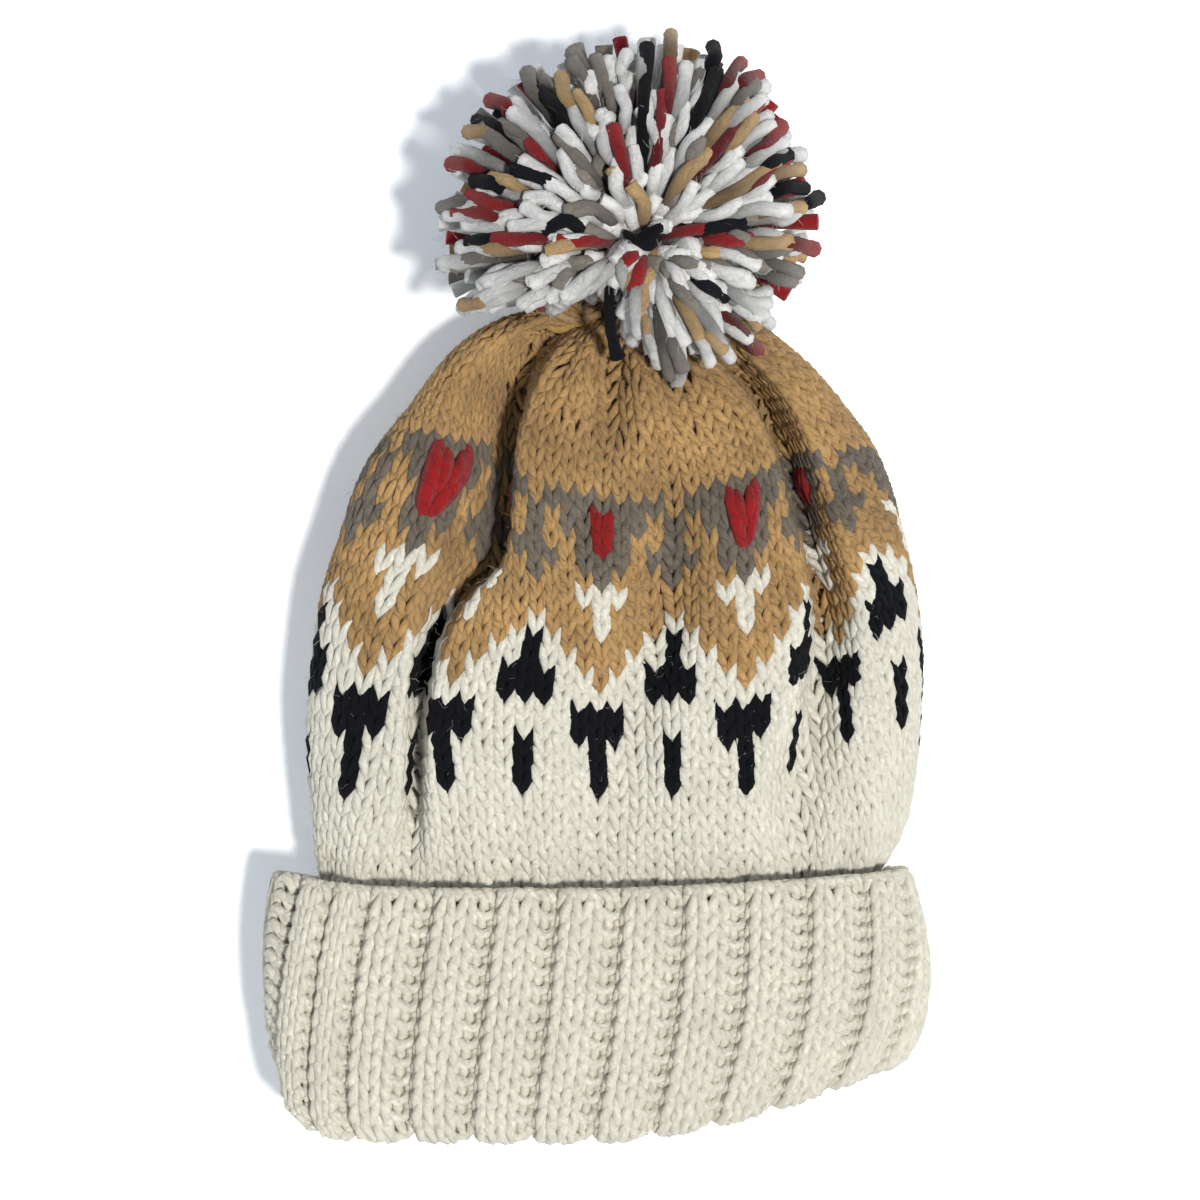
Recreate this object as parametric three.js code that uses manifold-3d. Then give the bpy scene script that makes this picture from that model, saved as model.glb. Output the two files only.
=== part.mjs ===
// A chunky knit toque lying on its back, as it is laid down: a stranded-colour crown drawn in at the top,
// a ribbed brim turned up on itself, and a cut-yarn pompom bound with black yarn.
// Millimetres. +X to the right and +Y from the brim to the pompom, as seen from above, and +Z up from the
// surface that the toque lies on. The origin is on that surface, under the middle of the toque.
import * as THREE from 'three';
import { mergeVertices } from 'three/addons/utils/BufferGeometryUtils.js';
import Module from 'manifold-3d';

const wasm = await Module();
wasm.setup();

// Driving dimensions
const BODY_STITCHES = 88; // stitches in a round of the crown
const RIBS = 22; // two knit and two purl stitches each
const BODY_WALL = 6; // stranded knit: two yarns thick
const RIB_WALL = 8; // one layer of ribbing
const LAYER_GAP = 0.5; // between the two layers of the turned-up brim
const RIB_DEPTH = 2.2; // how far the purl stitches sink between the knit ones
const JOIN_GAP = 0.4; // between the crown's rim and the ribbing that it runs into
const ROUNDNESS = 2.5; // exponent of a section: 2 is an ellipse, more is boxier
const FLOOR_PRESS = 7; // how far the weight flattens the underside
const YARN_RADIUS = 1.7;
const CURVE_SAMPLES = 720;

// Sections of the crown, from the rim hidden in the cuff to the drawn-in neck. left, right, under and over
// are the outer limits of a section. tilt lifts its right end along Y, and sag drops its upper middle.
const CROWN_SECTIONS = [
  { y: -101, left: -87, right: 85, under: 10, over: 46.5, tilt: 0, sag: 0 },
  { y: -91, left: -87, right: 86, under: 9.6, over: 47, tilt: 0, sag: 0 },
  { y: -82, left: -88.5, right: 93, under: 4, over: 52, tilt: 3, sag: 2 },
  { y: -65, left: -90, right: 99, under: 0, over: 56, tilt: 8, sag: 8 },
  { y: -40, left: -90.8, right: 101, under: 0, over: 60, tilt: 10, sag: 13 },
  { y: -19, left: -88.7, right: 101.5, under: 0, over: 62, tilt: 8, sag: 14 },
  { y: 0, left: -85.9, right: 99.5, under: 0, over: 62, tilt: 6, sag: 14 },
  { y: 18, left: -80, right: 95.5, under: 0, over: 62, tilt: 4, sag: 14 },
  { y: 34, left: -74.7, right: 91, under: 0, over: 61, tilt: 3, sag: 13 },
  { y: 46, left: -68, right: 86, under: 0, over: 60, tilt: 2, sag: 10 },
  { y: 58, left: -58.6, right: 77.2, under: 0, over: 58, tilt: 1, sag: 6 },
  { y: 68, left: -51.2, right: 68.8, under: 2, over: 56, tilt: 0, sag: 3 },
  { y: 77, left: -43, right: 59, under: 6, over: 52, tilt: 0, sag: 0 },
  { y: 84, left: -32, right: 49, under: 11, over: 47, tilt: 0, sag: 0 },
  { y: 89, left: -17, right: 35, under: 17, over: 42, tilt: 0, sag: 0 },
  { y: 92, left: -3.5, right: 21.5, under: 21, over: 38.5, tilt: 0, sag: 0 },
  { y: 97, left: -3, right: 21, under: 21.4, over: 38.1, tilt: 0, sag: 0 },
];
const NECK_TIP_Y = 98.5;
const CAVITY_END_Y = 80;
const CAVITY_TIP_Y = 81.5;
const SAG_X = 7;
const SAG_WIDTH = 48;

// Pleats, each a valley that runs up the crown: where it is, how deep and how wide it is, and the stitch
// column that lies in it, counted to the right from the middle of the front.
const UPPER_PLEATS = [
  [
    { y: -100, x: -58, depth: 0, width: 12, column: -11 },
    { y: -82, x: -57, depth: 5, width: 12, column: -11 },
    { y: -45, x: -51.5, depth: 14, width: 11, column: -10.5 },
    { y: -15, x: -50, depth: 14, width: 10.5, column: -9.5 },
    { y: 5, x: -38, depth: 15, width: 9.5, column: -8.5 },
    { y: 28, x: -35, depth: 18, width: 9, column: -8 },
    { y: 50, x: -33.5, depth: 18, width: 9, column: -8 },
    { y: 68, x: -25, depth: 15, width: 8, column: -8 },
    { y: 80, x: -12, depth: 9, width: 7, column: -8 },
    { y: 90, x: 3, depth: 4, width: 4, column: -8 },
    { y: 97, x: 5, depth: 1, width: 3, column: -8 },
  ],
  [
    { y: -100, x: 4, depth: 0, width: 13, column: 1.5 },
    { y: -82, x: 5, depth: 5, width: 13, column: 1.5 },
    { y: -45, x: 8, depth: 11, width: 13, column: 2 },
    { y: -25, x: 13, depth: 12, width: 12.5, column: 2.8 },
    { y: 5, x: 21, depth: 10, width: 12, column: 4 },
    { y: 28, x: 22, depth: 7, width: 12, column: 4.3 },
    { y: 44, x: 12, depth: 2, width: 8, column: 4 },
    { y: 60, x: 6, depth: 6, width: 6, column: 3.5 },
    { y: 75, x: 6, depth: 8, width: 6, column: 3.5 },
    { y: 90, x: 9, depth: 4, width: 4, column: 3.5 },
    { y: 97, x: 9, depth: 1, width: 3, column: 3.5 },
  ],
  [
    { y: -100, x: 60, depth: 0, width: 12, column: 13 },
    { y: -82, x: 61, depth: 5, width: 12, column: 13 },
    { y: -45, x: 66, depth: 14, width: 10.5, column: 14 },
    { y: -15, x: 70, depth: 14, width: 10, column: 14.8 },
    { y: 5, x: 67, depth: 16, width: 9.5, column: 15.6 },
    { y: 28, x: 61, depth: 18, width: 9, column: 16 },
    { y: 50, x: 56, depth: 18, width: 9, column: 16 },
    { y: 68, x: 45, depth: 15, width: 8, column: 16 },
    { y: 80, x: 31, depth: 9, width: 7, column: 16 },
    { y: 90, x: 15, depth: 4, width: 4, column: 16 },
    { y: 97, x: 13, depth: 1, width: 3, column: 16 },
  ],
];
// A pocket that the upper bulge presses into the middle of the front.
const POCKET = { x: -2, y: 20, depth: 7, radius: 10 };
const UNDER_PLEATS = [
  [
    { y: -100, x: 46, depth: 0, width: 12, column: 35 },
    { y: -60, x: 46, depth: 7, width: 11, column: 35 },
    { y: 30, x: 40, depth: 9, width: 10, column: 35 },
    { y: 70, x: 26, depth: 9, width: 8, column: 35 },
    { y: 90, x: 14, depth: 3, width: 4, column: 35 },
    { y: 97, x: 13, depth: 1, width: 3, column: 35 },
  ],
  [
    { y: -100, x: 4, depth: 0, width: 12, column: 46 },
    { y: -60, x: 4, depth: 7, width: 11, column: 46 },
    { y: 30, x: 7, depth: 9, width: 10, column: 46 },
    { y: 70, x: 9, depth: 9, width: 8, column: 46 },
    { y: 90, x: 9, depth: 3, width: 4, column: 46 },
    { y: 97, x: 9, depth: 1, width: 3, column: 46 },
  ],
  [
    { y: -100, x: -40, depth: 0, width: 12, column: 57 },
    { y: -60, x: -40, depth: 7, width: 11, column: 57 },
    { y: 30, x: -28, depth: 9, width: 10, column: 57 },
    { y: 70, x: -12, depth: 9, width: 8, column: 57 },
    { y: 90, x: 4, depth: 3, width: 4, column: 57 },
    { y: 97, x: 5, depth: 1, width: 3, column: 57 },
  ],
];

// Sections of the turned-up cuff's outer face, from its edge to the fold.
const CUFF_SECTIONS = [
  { down: 0, left: -100.5, right: 96.5, under: 0.6, over: 57 },
  { down: 0.25, left: -102.8, right: 100.5, under: 0, over: 58.5 },
  { down: 0.5, left: -103.2, right: 102.6, under: 0, over: 59 },
  { down: 0.75, left: -102, right: 101.2, under: 0, over: 58 },
  { down: 0.9, left: -99.5, right: 97.5, under: 0, over: 56.5 },
  { down: 1, left: -98, right: 94.5, under: 0.4, over: 55.5 },
];
const CUFF_TOP_Y = -91.3; // the turned-up edge, at the middle of the front
const CUFF_TOP_RISE_RIGHT = 4.8; // it is higher at the right side, as it lies
const CUFF_TOP_RISE_LEFT = 3.9; // and a little at the left side
const BRIM_Y = -169.5;
const BRIM_RISE_RIGHT = 21; // the fold draws back at the right side
const BRIM_RISE_LEFT = 18; // and, in a tighter corner, at the left side
const INNER_BAND_TOP_Y = -100.6;
// The furrows between the ribs that show from above, at the middle of the cuff's depth. The other ribs
// share the rest of the way round evenly.
const FRONT_FURROWS = [-98.9, -89.3, -77.5, -56.7, -36, -15.8, 5.3, 25.7, 46.2, 66.7, 85.9, 98.9];

// Pompom
const POMPOM_CENTRE = new THREE.Vector3(9.5, 112, 45);
const POMPOM_RADII = new THREE.Vector3(58, 58, 47);
const POMPOM_PARTING = new THREE.Vector2(13.5, 105); // where the strands part over the tie
const PARTING_DEPTH = 17;
const PARTING_RADIUS = 15;
const POMPOM_CLEARANCE = 1;
const TIE_RADII = new THREE.Vector3(6, 4.6, 3.6);
const TIE_LIFT = 0.9; // over the floor of the parting

// The value of a table's column at a place, on a smooth curve through its rows.
function columnAt(rows, key, column, place) {
  const last = rows.length - 1;
  if (place <= rows[0][key]) return rows[0][column];
  if (place >= rows[last][key]) return rows[last][column];
  let i = 0;
  while (rows[i + 1][key] < place) i += 1;
  const slope = (k) => {
    const before = rows[Math.max(k - 1, 0)];
    const after = rows[Math.min(k + 1, last)];
    return (after[column] - before[column]) / (after[key] - before[key]);
  };
  const step = rows[i + 1][key] - rows[i][key];
  const t = (place - rows[i][key]) / step;
  const t2 = t * t;
  const t3 = t2 * t;
  return (
    (2 * t3 - 3 * t2 + 1) * rows[i][column] +
    (t3 - 2 * t2 + t) * step * slope(i) +
    (3 * t2 - 2 * t3) * rows[i + 1][column] +
    (t3 - t2) * step * slope(i + 1)
  );
}

function rowAt(rows, key, place) {
  const found = {};
  for (const column of Object.keys(rows[0])) {
    found[column] = column === key ? place : columnAt(rows, key, column, place);
  }
  return found;
}

// A point of a section at an angle, moved inwards by inset. Angle 0 is at the right, and a right angle at
// the top. The underside is pressed flat.
function sectionPoint(section, angle, inset) {
  const middle = (section.under + section.over) / 2;
  const power = 2 / ROUNDNESS;
  const across = Math.sign(Math.cos(angle)) * Math.abs(Math.cos(angle)) ** power;
  const upward = Math.sign(Math.sin(angle)) * Math.abs(Math.sin(angle)) ** power;
  const halfWidth = (section.right - section.left) / 2 - inset;
  const reach = upward > 0 ? section.over - middle - inset : middle - section.under - inset + FLOOR_PRESS;
  return {
    x: (section.left + section.right) / 2 + halfWidth * across,
    z: Math.max(middle + reach * upward, Math.max(section.under, 0) + inset),
    upward,
    across,
  };
}

// The crown's closed curve at a place along Y, with its pleats pressed in, as finely spaced points.
function crownCurve(y, inset) {
  const section = rowAt(CROWN_SECTIONS, 'y', y);
  const upper = UPPER_PLEATS.map((rows) => rowAt(rows, 'y', y));
  const under = UNDER_PLEATS.map((rows) => rowAt(rows, 'y', y));
  const pressed = (pleats, x) =>
    pleats.reduce((sum, p) => sum + p.depth * Math.exp(-(((x - p.x) / p.width) ** 2)), 0);
  const points = [];
  for (let i = 0; i < CURVE_SAMPLES; i += 1) {
    // starting on the underside and going up the left side, over the top and down the right side
    const angle = -Math.PI / 2 - (i / CURVE_SAMPLES) * 2 * Math.PI;
    const p = sectionPoint(section, angle, inset);
    const facing = Math.min(1, Math.abs(p.upward) * 1.6);
    const topness = Math.sqrt(Math.max(p.upward, 0));
    const sag = section.sag * topness * Math.exp(-(((p.x - SAG_X) / SAG_WIDTH) ** 2));
    const alongY = y + (section.tilt * p.x) / 100 - sag;
    const fromPocket = Math.hypot(p.x - POCKET.x, alongY - POCKET.y) / POCKET.radius;
    const pocket = POCKET.depth * Math.exp(-(fromPocket ** 2));
    const press = (p.upward > 0 ? pressed(upper, p.x) + pocket : -pressed(under, p.x)) * facing;
    points.push(new THREE.Vector3(p.x, alongY, p.z - press));
  }
  return { points, upper, under };
}

// The curve again as one point for each stitch column: the pleats hold their columns, and the columns
// between two pleats share the curve's length evenly.
function crownLoop(y, inset) {
  const { points, upper, under } = crownCurve(y, inset);
  const length = [0];
  points.forEach((p, i) => length.push(length[i] + p.distanceTo(points[(i + 1) % points.length])));
  const nearest = (x, from, to) => {
    let best = from;
    for (let i = from; i < to; i += 1) {
      if (Math.abs(points[i].x - x) < Math.abs(points[best].x - x)) best = i;
    }
    return best;
  };
  const quarter = CURVE_SAMPLES / 4;
  const lowerLeft = (x) => nearest(x, 0, quarter);
  const lowerRight = (x) => nearest(x, 3 * quarter, CURVE_SAMPLES);
  const middleX = points[0].x;
  const marks = [
    ...upper.map((p) => ({ column: p.column, at: length[nearest(p.x, quarter, 3 * quarter)] })),
    ...under.map((p) => {
      const onRight = p.x > middleX;
      const at = length[onRight ? lowerRight(p.x) : lowerLeft(p.x)];
      return { column: onRight ? p.column : p.column - BODY_STITCHES, at };
    }),
  ];
  const total = length[CURVE_SAMPLES];
  marks.sort((a, b) => a.at - b.at);
  const first = marks[0];
  marks.push({ column: first.column + BODY_STITCHES, at: first.at + total });
  const loop = [];
  const start = Math.ceil(first.column);
  for (let k = 0; k < BODY_STITCHES; k += 1) {
    const column = start + k;
    let m = 0;
    while (marks[m + 1].column < column) m += 1;
    const share = (column - marks[m].column) / (marks[m + 1].column - marks[m].column);
    const at = (marks[m].at + share * (marks[m + 1].at - marks[m].at)) % total;
    let low = 0;
    let high = CURVE_SAMPLES;
    while (high - low > 1) {
      const mid = Math.floor((low + high) / 2);
      if (length[mid] <= at) low = mid;
      else high = mid;
    }
    const t = (at - length[low]) / (length[low + 1] - length[low]);
    const place = ((column % BODY_STITCHES) + BODY_STITCHES) % BODY_STITCHES;
    loop[place] = points[low].clone().lerp(points[(low + 1) % CURVE_SAMPLES], t);
  }
  return loop;
}

// A closed mesh through loops that all have the same number of points. Without tips the last loop joins
// the first, and with them each end closes on a point.
function meshOf(loops, tips) {
  const count = loops[0].length;
  const positions = loops.flat().flatMap((p) => [p.x, p.y, p.z]);
  const faces = [];
  const bands = tips ? loops.length - 1 : loops.length;
  for (let r = 0; r < bands; r += 1) {
    const next = (r + 1) % loops.length;
    for (let k = 0; k < count; k += 1) {
      const k2 = (k + 1) % count;
      const [a, b, c, d] = [r * count + k, r * count + k2, next * count + k2, next * count + k];
      faces.push(a, b, c, a, c, d);
    }
  }
  if (tips) {
    tips.forEach((tip, end) => {
      const middle = positions.length / 3;
      positions.push(tip.x, tip.y, tip.z);
      const ring = end === 0 ? 0 : (loops.length - 1) * count;
      for (let k = 0; k < count; k += 1) {
        const k2 = (k + 1) % count;
        if (end === 0) faces.push(ring + k2, ring + k, middle);
        else faces.push(ring + k, ring + k2, middle);
      }
    });
  }
  const geometry = new THREE.BufferGeometry();
  geometry.setAttribute('position', new THREE.Float32BufferAttribute(positions, 3));
  geometry.setIndex(faces);
  return facingOut(geometry);
}

function volumeOf(geometry) {
  const p = geometry.getAttribute('position');
  const index = geometry.getIndex();
  const [a, b, c] = [new THREE.Vector3(), new THREE.Vector3(), new THREE.Vector3()];
  let sum = 0;
  for (let i = 0; i < index.count; i += 3) {
    a.fromBufferAttribute(p, index.getX(i));
    b.fromBufferAttribute(p, index.getX(i + 1));
    c.fromBufferAttribute(p, index.getX(i + 2));
    sum += a.dot(b.cross(c)) / 6;
  }
  return sum;
}

function facingOut(geometry) {
  if (volumeOf(geometry) < 0) {
    const index = geometry.getIndex();
    for (let i = 0; i < index.count; i += 3) {
      const second = index.getX(i + 1);
      index.setX(i + 1, index.getX(i + 2));
      index.setX(i + 2, second);
    }
  }
  geometry.computeVertexNormals();
  return geometry;
}

function centreOf(loop) {
  return loop.reduce((sum, p) => sum.add(p), new THREE.Vector3()).divideScalar(loop.length);
}

function placesBetween(from, to, count) {
  return Array.from({ length: count }, (_, i) => from + ((to - from) * i) / (count - 1));
}

function makeCrown() {
  const outerPlaces = [...placesBetween(-100, -82, 3), ...placesBetween(-70, 62, 11), 69, 76, 82, 87, 90, 92.5, 97];
  const innerPlaces = placesBetween(CAVITY_END_Y, -100, 9);
  const outer = outerPlaces.map((y) => crownLoop(y, 0));
  const inner = innerPlaces.map((y) => crownLoop(y, BODY_WALL));
  const neckTip = centreOf(outer[outer.length - 1]).setY(NECK_TIP_Y);
  const cavityTip = centreOf(inner[0]).setY(CAVITY_TIP_Y);
  return meshOf([...inner, ...outer], [cavityTip, neckTip]);
}

// One cross-section of the turned-up brim as inset from the outer face and distance up from the fold:
// up the outer face, over its edge, down into the slot, up the inner band and down its inside.
function brimProfile() {
  const inner = RIB_WALL + LAYER_GAP;
  const through = inner + RIB_WALL;
  const edge = 0.25 * RIB_WALL;
  return [
    { inset: edge, down: 0, drop: -edge / 2 },
    { inset: 0, down: 0.08 },
    { inset: 0, down: 0.35 },
    { inset: 0, down: 0.65 },
    { inset: 0, down: 0.88 },
    { inset: edge, down: 0.97 },
    { inset: through / 2, down: 1 },
    { inset: through - edge, down: 0.97 },
    { inset: through, down: 0.86 },
    { inset: through, down: 0.5 },
    { inset: through, bandTop: true },
    { inset: inner, bandTop: true },
    { inset: inner, down: 0.5 },
    { inset: inner - LAYER_GAP / 2, down: 0.88 },
    { inset: RIB_WALL, down: 0.04 },
  ];
}

// The places round a rib at which a cuff section has its points: two on the raised knit stitches and two
// in the sunk purl ones, counted from the middle of a furrow.
const RIB_STEPS = [
  { share: 0.08, sunk: 1 },
  { share: 0.2, sunk: 0 },
  { share: 0.8, sunk: 0 },
  { share: 0.92, sunk: 1 },
];

function makeCuff() {
  const profile = brimProfile();
  const loops = profile.map(() => []);
  const middle = rowAt(CUFF_SECTIONS, 'down', 0.5);
  const angles = evenAngles(middle, 2048);
  const furrows = FRONT_FURROWS.map((x) => {
    let best = 1024;
    for (let i = 0; i <= 1024; i += 1) {
      const here = Math.abs(sectionPoint(middle, angles[i], 0).x - x);
      if (here < Math.abs(sectionPoint(middle, angles[best], 0).x - x)) best = i;
    }
    return best;
  });
  const hidden = RIBS - furrows.length + 1;
  const rest = 2048 - furrows[0] + furrows[furrows.length - 1];
  for (let k = 1; k < hidden; k += 1) furrows.push(furrows[FRONT_FURROWS.length - 1] - (rest * k) / hidden);
  furrows.push(furrows[0] - 2048);
  for (let rib = 0; rib < RIBS; rib += 1) {
    RIB_STEPS.forEach(({ share, sunk }) => {
      const place = Math.round(furrows[rib] + share * (furrows[rib + 1] - furrows[rib]));
      const angle = angles[((place % 2048) + 2048) % 2048];
      profile.forEach((spot, i) => {
        const across = Math.cos(angle);
        const right = Math.max(across, 0);
        const left = Math.max(-across, 0);
        const topY = CUFF_TOP_Y + CUFF_TOP_RISE_RIGHT * right + CUFF_TOP_RISE_LEFT * left ** 6;
        const brimY = BRIM_Y + BRIM_RISE_RIGHT * right ** 1.5 + BRIM_RISE_LEFT * left ** 16;
        const down = spot.bandTop ? (INNER_BAND_TOP_Y - topY) / (brimY - topY) : spot.down;
        const section = rowAt(CUFF_SECTIONS, 'down', down);
        const outside = spot.inset < RIB_WALL / 2 || spot.inset > 1.6 * RIB_WALL;
        const sinking = outside ? sunk * RIB_DEPTH * (spot.inset < RIB_WALL ? 1 : -1) : 0;
        const p = sectionPoint(section, angle, spot.inset + sinking);
        loops[i].push(new THREE.Vector3(p.x, topY + (brimY - topY) * down + (spot.drop ?? 0), p.z));
      });
    });
  }
  return meshOf(loops, null);
}

// Angles that divide a section's curve into equal lengths.
function evenAngles(section, count) {
  const fine = 4096;
  const lengths = [0];
  let before = sectionPoint(section, 0, 0);
  for (let i = 1; i <= fine; i += 1) {
    const p = sectionPoint(section, (i / fine) * 2 * Math.PI, 0);
    lengths.push(lengths[i - 1] + Math.hypot(p.x - before.x, p.z - before.z));
    before = p;
  }
  const angles = [];
  let i = 0;
  for (let k = 0; k < count; k += 1) {
    const wanted = (k / count) * lengths[fine];
    while (lengths[i + 1] < wanted) i += 1;
    const t = (wanted - lengths[i]) / (lengths[i + 1] - lengths[i]);
    angles.push(((i + t) / fine) * 2 * Math.PI);
  }
  return angles;
}

// The yarn that draws the last round of the crown together, one turn round the neck.
function makeGatherYarn() {
  const y = 95;
  const section = rowAt(CROWN_SECTIONS, 'y', y);
  const around = 32;
  const sides = 6;
  const loops = [];
  for (let k = 0; k < around; k += 1) {
    const angle = (k / around) * 2 * Math.PI;
    const neck = sectionPoint(section, angle, -(YARN_RADIUS + 2 * JOIN_GAP));
    const outward = new THREE.Vector3(Math.cos(angle), 0, Math.sin(angle));
    const loop = [];
    for (let s = 0; s < sides; s += 1) {
      const turn = (s / sides) * 2 * Math.PI;
      loop.push(
        new THREE.Vector3(neck.x, y, neck.z)
          .addScaledVector(outward, YARN_RADIUS * Math.cos(turn))
          .add(new THREE.Vector3(0, YARN_RADIUS * Math.sin(turn), 0)),
      );
    }
    loops.push(loop);
  }
  return meshOf(loops, null);
}

function solidOf(geometry) {
  const bare = geometry.clone();
  bare.deleteAttribute('normal');
  bare.deleteAttribute('uv');
  const merged = mergeVertices(bare, 1e-4);
  return new wasm.Manifold(
    new wasm.Mesh({
      numProp: 3,
      vertProperties: new Float32Array(merged.getAttribute('position').array),
      triVerts: new Uint32Array(merged.getIndex().array),
    }),
  );
}

function geometryOf(solid) {
  const mesh = solid.getMesh();
  const geometry = new THREE.BufferGeometry();
  geometry.setAttribute('position', new THREE.BufferAttribute(mesh.vertProperties, 3));
  geometry.setIndex(new THREE.BufferAttribute(mesh.triVerts, 1));
  geometry.computeVertexNormals();
  return geometry;
}

// The crown's end without its pleats, a little larger all round and open to the surface below, which is
// the room that it presses out of the pompom.
function crownEndRoom() {
  const around = 48;
  const places = [36, 44, 52, 58, 64, 70, 74, 78, 81, 84, 86, 88, 90, 92, 98];
  const loops = places.map((y) => {
    const section = rowAt(CROWN_SECTIONS, 'y', y);
    const end = y > 89 ? YARN_RADIUS * 2 + JOIN_GAP : 0;
    return placesBetween(0, 2 * Math.PI, around + 1)
      .slice(0, around)
      .map((angle) => {
        const p = sectionPoint(section, -angle, -POMPOM_CLEARANCE - end);
        const open = y < 84 && p.upward < -0.01;
        return new THREE.Vector3(p.x, y + (section.tilt * p.x) / 100, open ? -20 : p.z);
      });
  });
  const first = centreOf(loops[0]);
  const last = centreOf(loops[loops.length - 1]).setY(NECK_TIP_Y + POMPOM_CLEARANCE);
  return meshOf(loops, [first, last]);
}

// The ball of cut yarn as its outer form: lumpy, flattened where it lies and parted over its tie.
function makePompom() {
  const around = 30;
  const ringAngles = [4, 8, 12, 17, 24, 33, 44, 56, 69, 82, 95, 109, 124, 140, 162];
  const surface = (degrees, azimuth) => {
    const polar = THREE.MathUtils.degToRad(degrees);
    const direction = new THREE.Vector3(
      Math.sin(polar) * Math.cos(azimuth),
      Math.sin(polar) * Math.sin(azimuth),
      Math.cos(polar),
    );
    const lumps = 1 + Math.sin(polar) * (0.03 * Math.sin(5 * azimuth + 1) + 0.02 * Math.sin(3 * azimuth - 4 * polar));
    const lean = Math.max(direction.z, 0) ** 2;
    const p = direction.multiply(POMPOM_RADII).multiplyScalar(lumps);
    const away = Math.hypot(p.x, p.y) / PARTING_RADIUS;
    if (degrees < 90) p.z -= PARTING_DEPTH * Math.exp(-(away ** 2));
    p.x += (POMPOM_PARTING.x - POMPOM_CENTRE.x) * lean;
    p.y += (POMPOM_PARTING.y - POMPOM_CENTRE.y) * lean;
    p.add(POMPOM_CENTRE);
    p.z = Math.max(p.z, 0);
    return p;
  };
  const loops = ringAngles.map((degrees) =>
    Array.from({ length: around }, (_, k) => surface(degrees, (k / around) * 2 * Math.PI)),
  );
  const ball = meshOf(loops, [surface(0, 0), centreOf(loops[loops.length - 1])]);
  return geometryOf(solidOf(ball).subtract(solidOf(crownEndRoom())));
}

// The black yarn that binds the pompom, as the knot that shows in the parting.
function makePompomTie() {
  const knot = new THREE.SphereGeometry(1, 14, 9);
  knot.scale(TIE_RADII.x, TIE_RADII.y, TIE_RADII.z);
  return knot;
}

const finishes = {
  tanYarn: new THREE.MeshStandardMaterial({ color: 0xc8a06a, roughness: 0.95, metalness: 0 }),
  creamYarn: new THREE.MeshStandardMaterial({ color: 0xe6e0cf, roughness: 0.95, metalness: 0 }),
  whiteYarn: new THREE.MeshStandardMaterial({ color: 0xf2f0ea, roughness: 0.95, metalness: 0 }),
  greyYarn: new THREE.MeshStandardMaterial({ color: 0x7d7364, roughness: 0.95, metalness: 0 }),
  blackYarn: new THREE.MeshStandardMaterial({ color: 0x14161c, roughness: 0.95, metalness: 0 }),
};

function piece(name, geometry, finish) {
  const mesh = new THREE.Mesh(geometry, finish);
  mesh.name = name;
  return mesh;
}

const hat = new THREE.Group();
hat.add(piece('crown', makeCrown(), finishes.tanYarn));
hat.add(piece('cuff', makeCuff(), finishes.creamYarn));
hat.add(piece('gather_yarn', makeGatherYarn(), finishes.greyYarn));
hat.add(piece('pompom', makePompom(), finishes.whiteYarn));
const tie = piece('pompom_tie', makePompomTie(), finishes.blackYarn);
const partingFloor = POMPOM_CENTRE.z + POMPOM_RADII.z - PARTING_DEPTH;
tie.position.set(POMPOM_PARTING.x, POMPOM_PARTING.y, partingFloor + TIE_RADII.z + TIE_LIFT);
hat.add(tie);

// The origin lies on the surface, under the middle of the whole toque.
const limits = new THREE.Box3().setFromObject(hat);
const whole = new THREE.Group();
hat.position.set(-(limits.min.x + limits.max.x) / 2, -(limits.min.y + limits.max.y) / 2, -limits.min.z);
whole.add(hat);

export default whole;
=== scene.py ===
"""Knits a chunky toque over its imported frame: stranded crown, ribbed cuff and cut-yarn pompom.

Run as a script. Lengths inside are in millimetres until a mesh is made, +X to the right, +Y from the
cuff to the pompom and +Z up from the surface that the toque lies on.
"""

import math

import bmesh
import bpy
import numpy as np
from bpy.props import FloatProperty, FloatVectorProperty, IntProperty, PointerProperty
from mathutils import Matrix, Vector


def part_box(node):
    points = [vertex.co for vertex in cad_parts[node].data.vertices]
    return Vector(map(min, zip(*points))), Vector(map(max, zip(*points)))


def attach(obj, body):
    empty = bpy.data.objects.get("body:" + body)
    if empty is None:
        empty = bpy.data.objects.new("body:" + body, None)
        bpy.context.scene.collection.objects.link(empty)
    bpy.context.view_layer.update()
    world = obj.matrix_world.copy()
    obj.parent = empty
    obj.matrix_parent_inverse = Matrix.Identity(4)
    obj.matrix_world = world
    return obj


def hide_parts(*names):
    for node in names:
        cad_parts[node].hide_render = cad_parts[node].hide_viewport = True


bl_info = {
    "name": "Knit Toque",
    "version": (1, 0, 0),
    "blender": (4, 5, 0),
    "location": "3D View > Sidebar > Toque",
    "description": "Stranded knit crown, ribbed cuff and pompom of a chunky toque",
    "category": "Add Mesh",
}

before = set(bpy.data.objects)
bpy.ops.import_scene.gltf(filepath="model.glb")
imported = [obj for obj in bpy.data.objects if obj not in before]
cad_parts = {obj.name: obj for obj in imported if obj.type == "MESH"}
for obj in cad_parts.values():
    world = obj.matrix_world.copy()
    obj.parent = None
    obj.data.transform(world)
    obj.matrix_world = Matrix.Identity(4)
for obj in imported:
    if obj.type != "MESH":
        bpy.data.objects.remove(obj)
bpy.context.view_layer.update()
MM = 0.001

# The counts that the frame was built from, and its sizes in millimetres.
BODY_STITCHES = 88
RIB_STITCHES = 4
RIBS = BODY_STITCHES // RIB_STITCHES
RIB_WALL = 8.0
LAYER_GAP = 0.5
ROUNDNESS = 2.5
FLOOR_PRESS = 7.0
FRAME_SHIFT = np.array([0.3, -0.31, 0.0])
# How many points draw the way round a section of the crown, and of the cuff.
CURVE_SAMPLES = 720
WAY_SAMPLES = 2048

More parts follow.
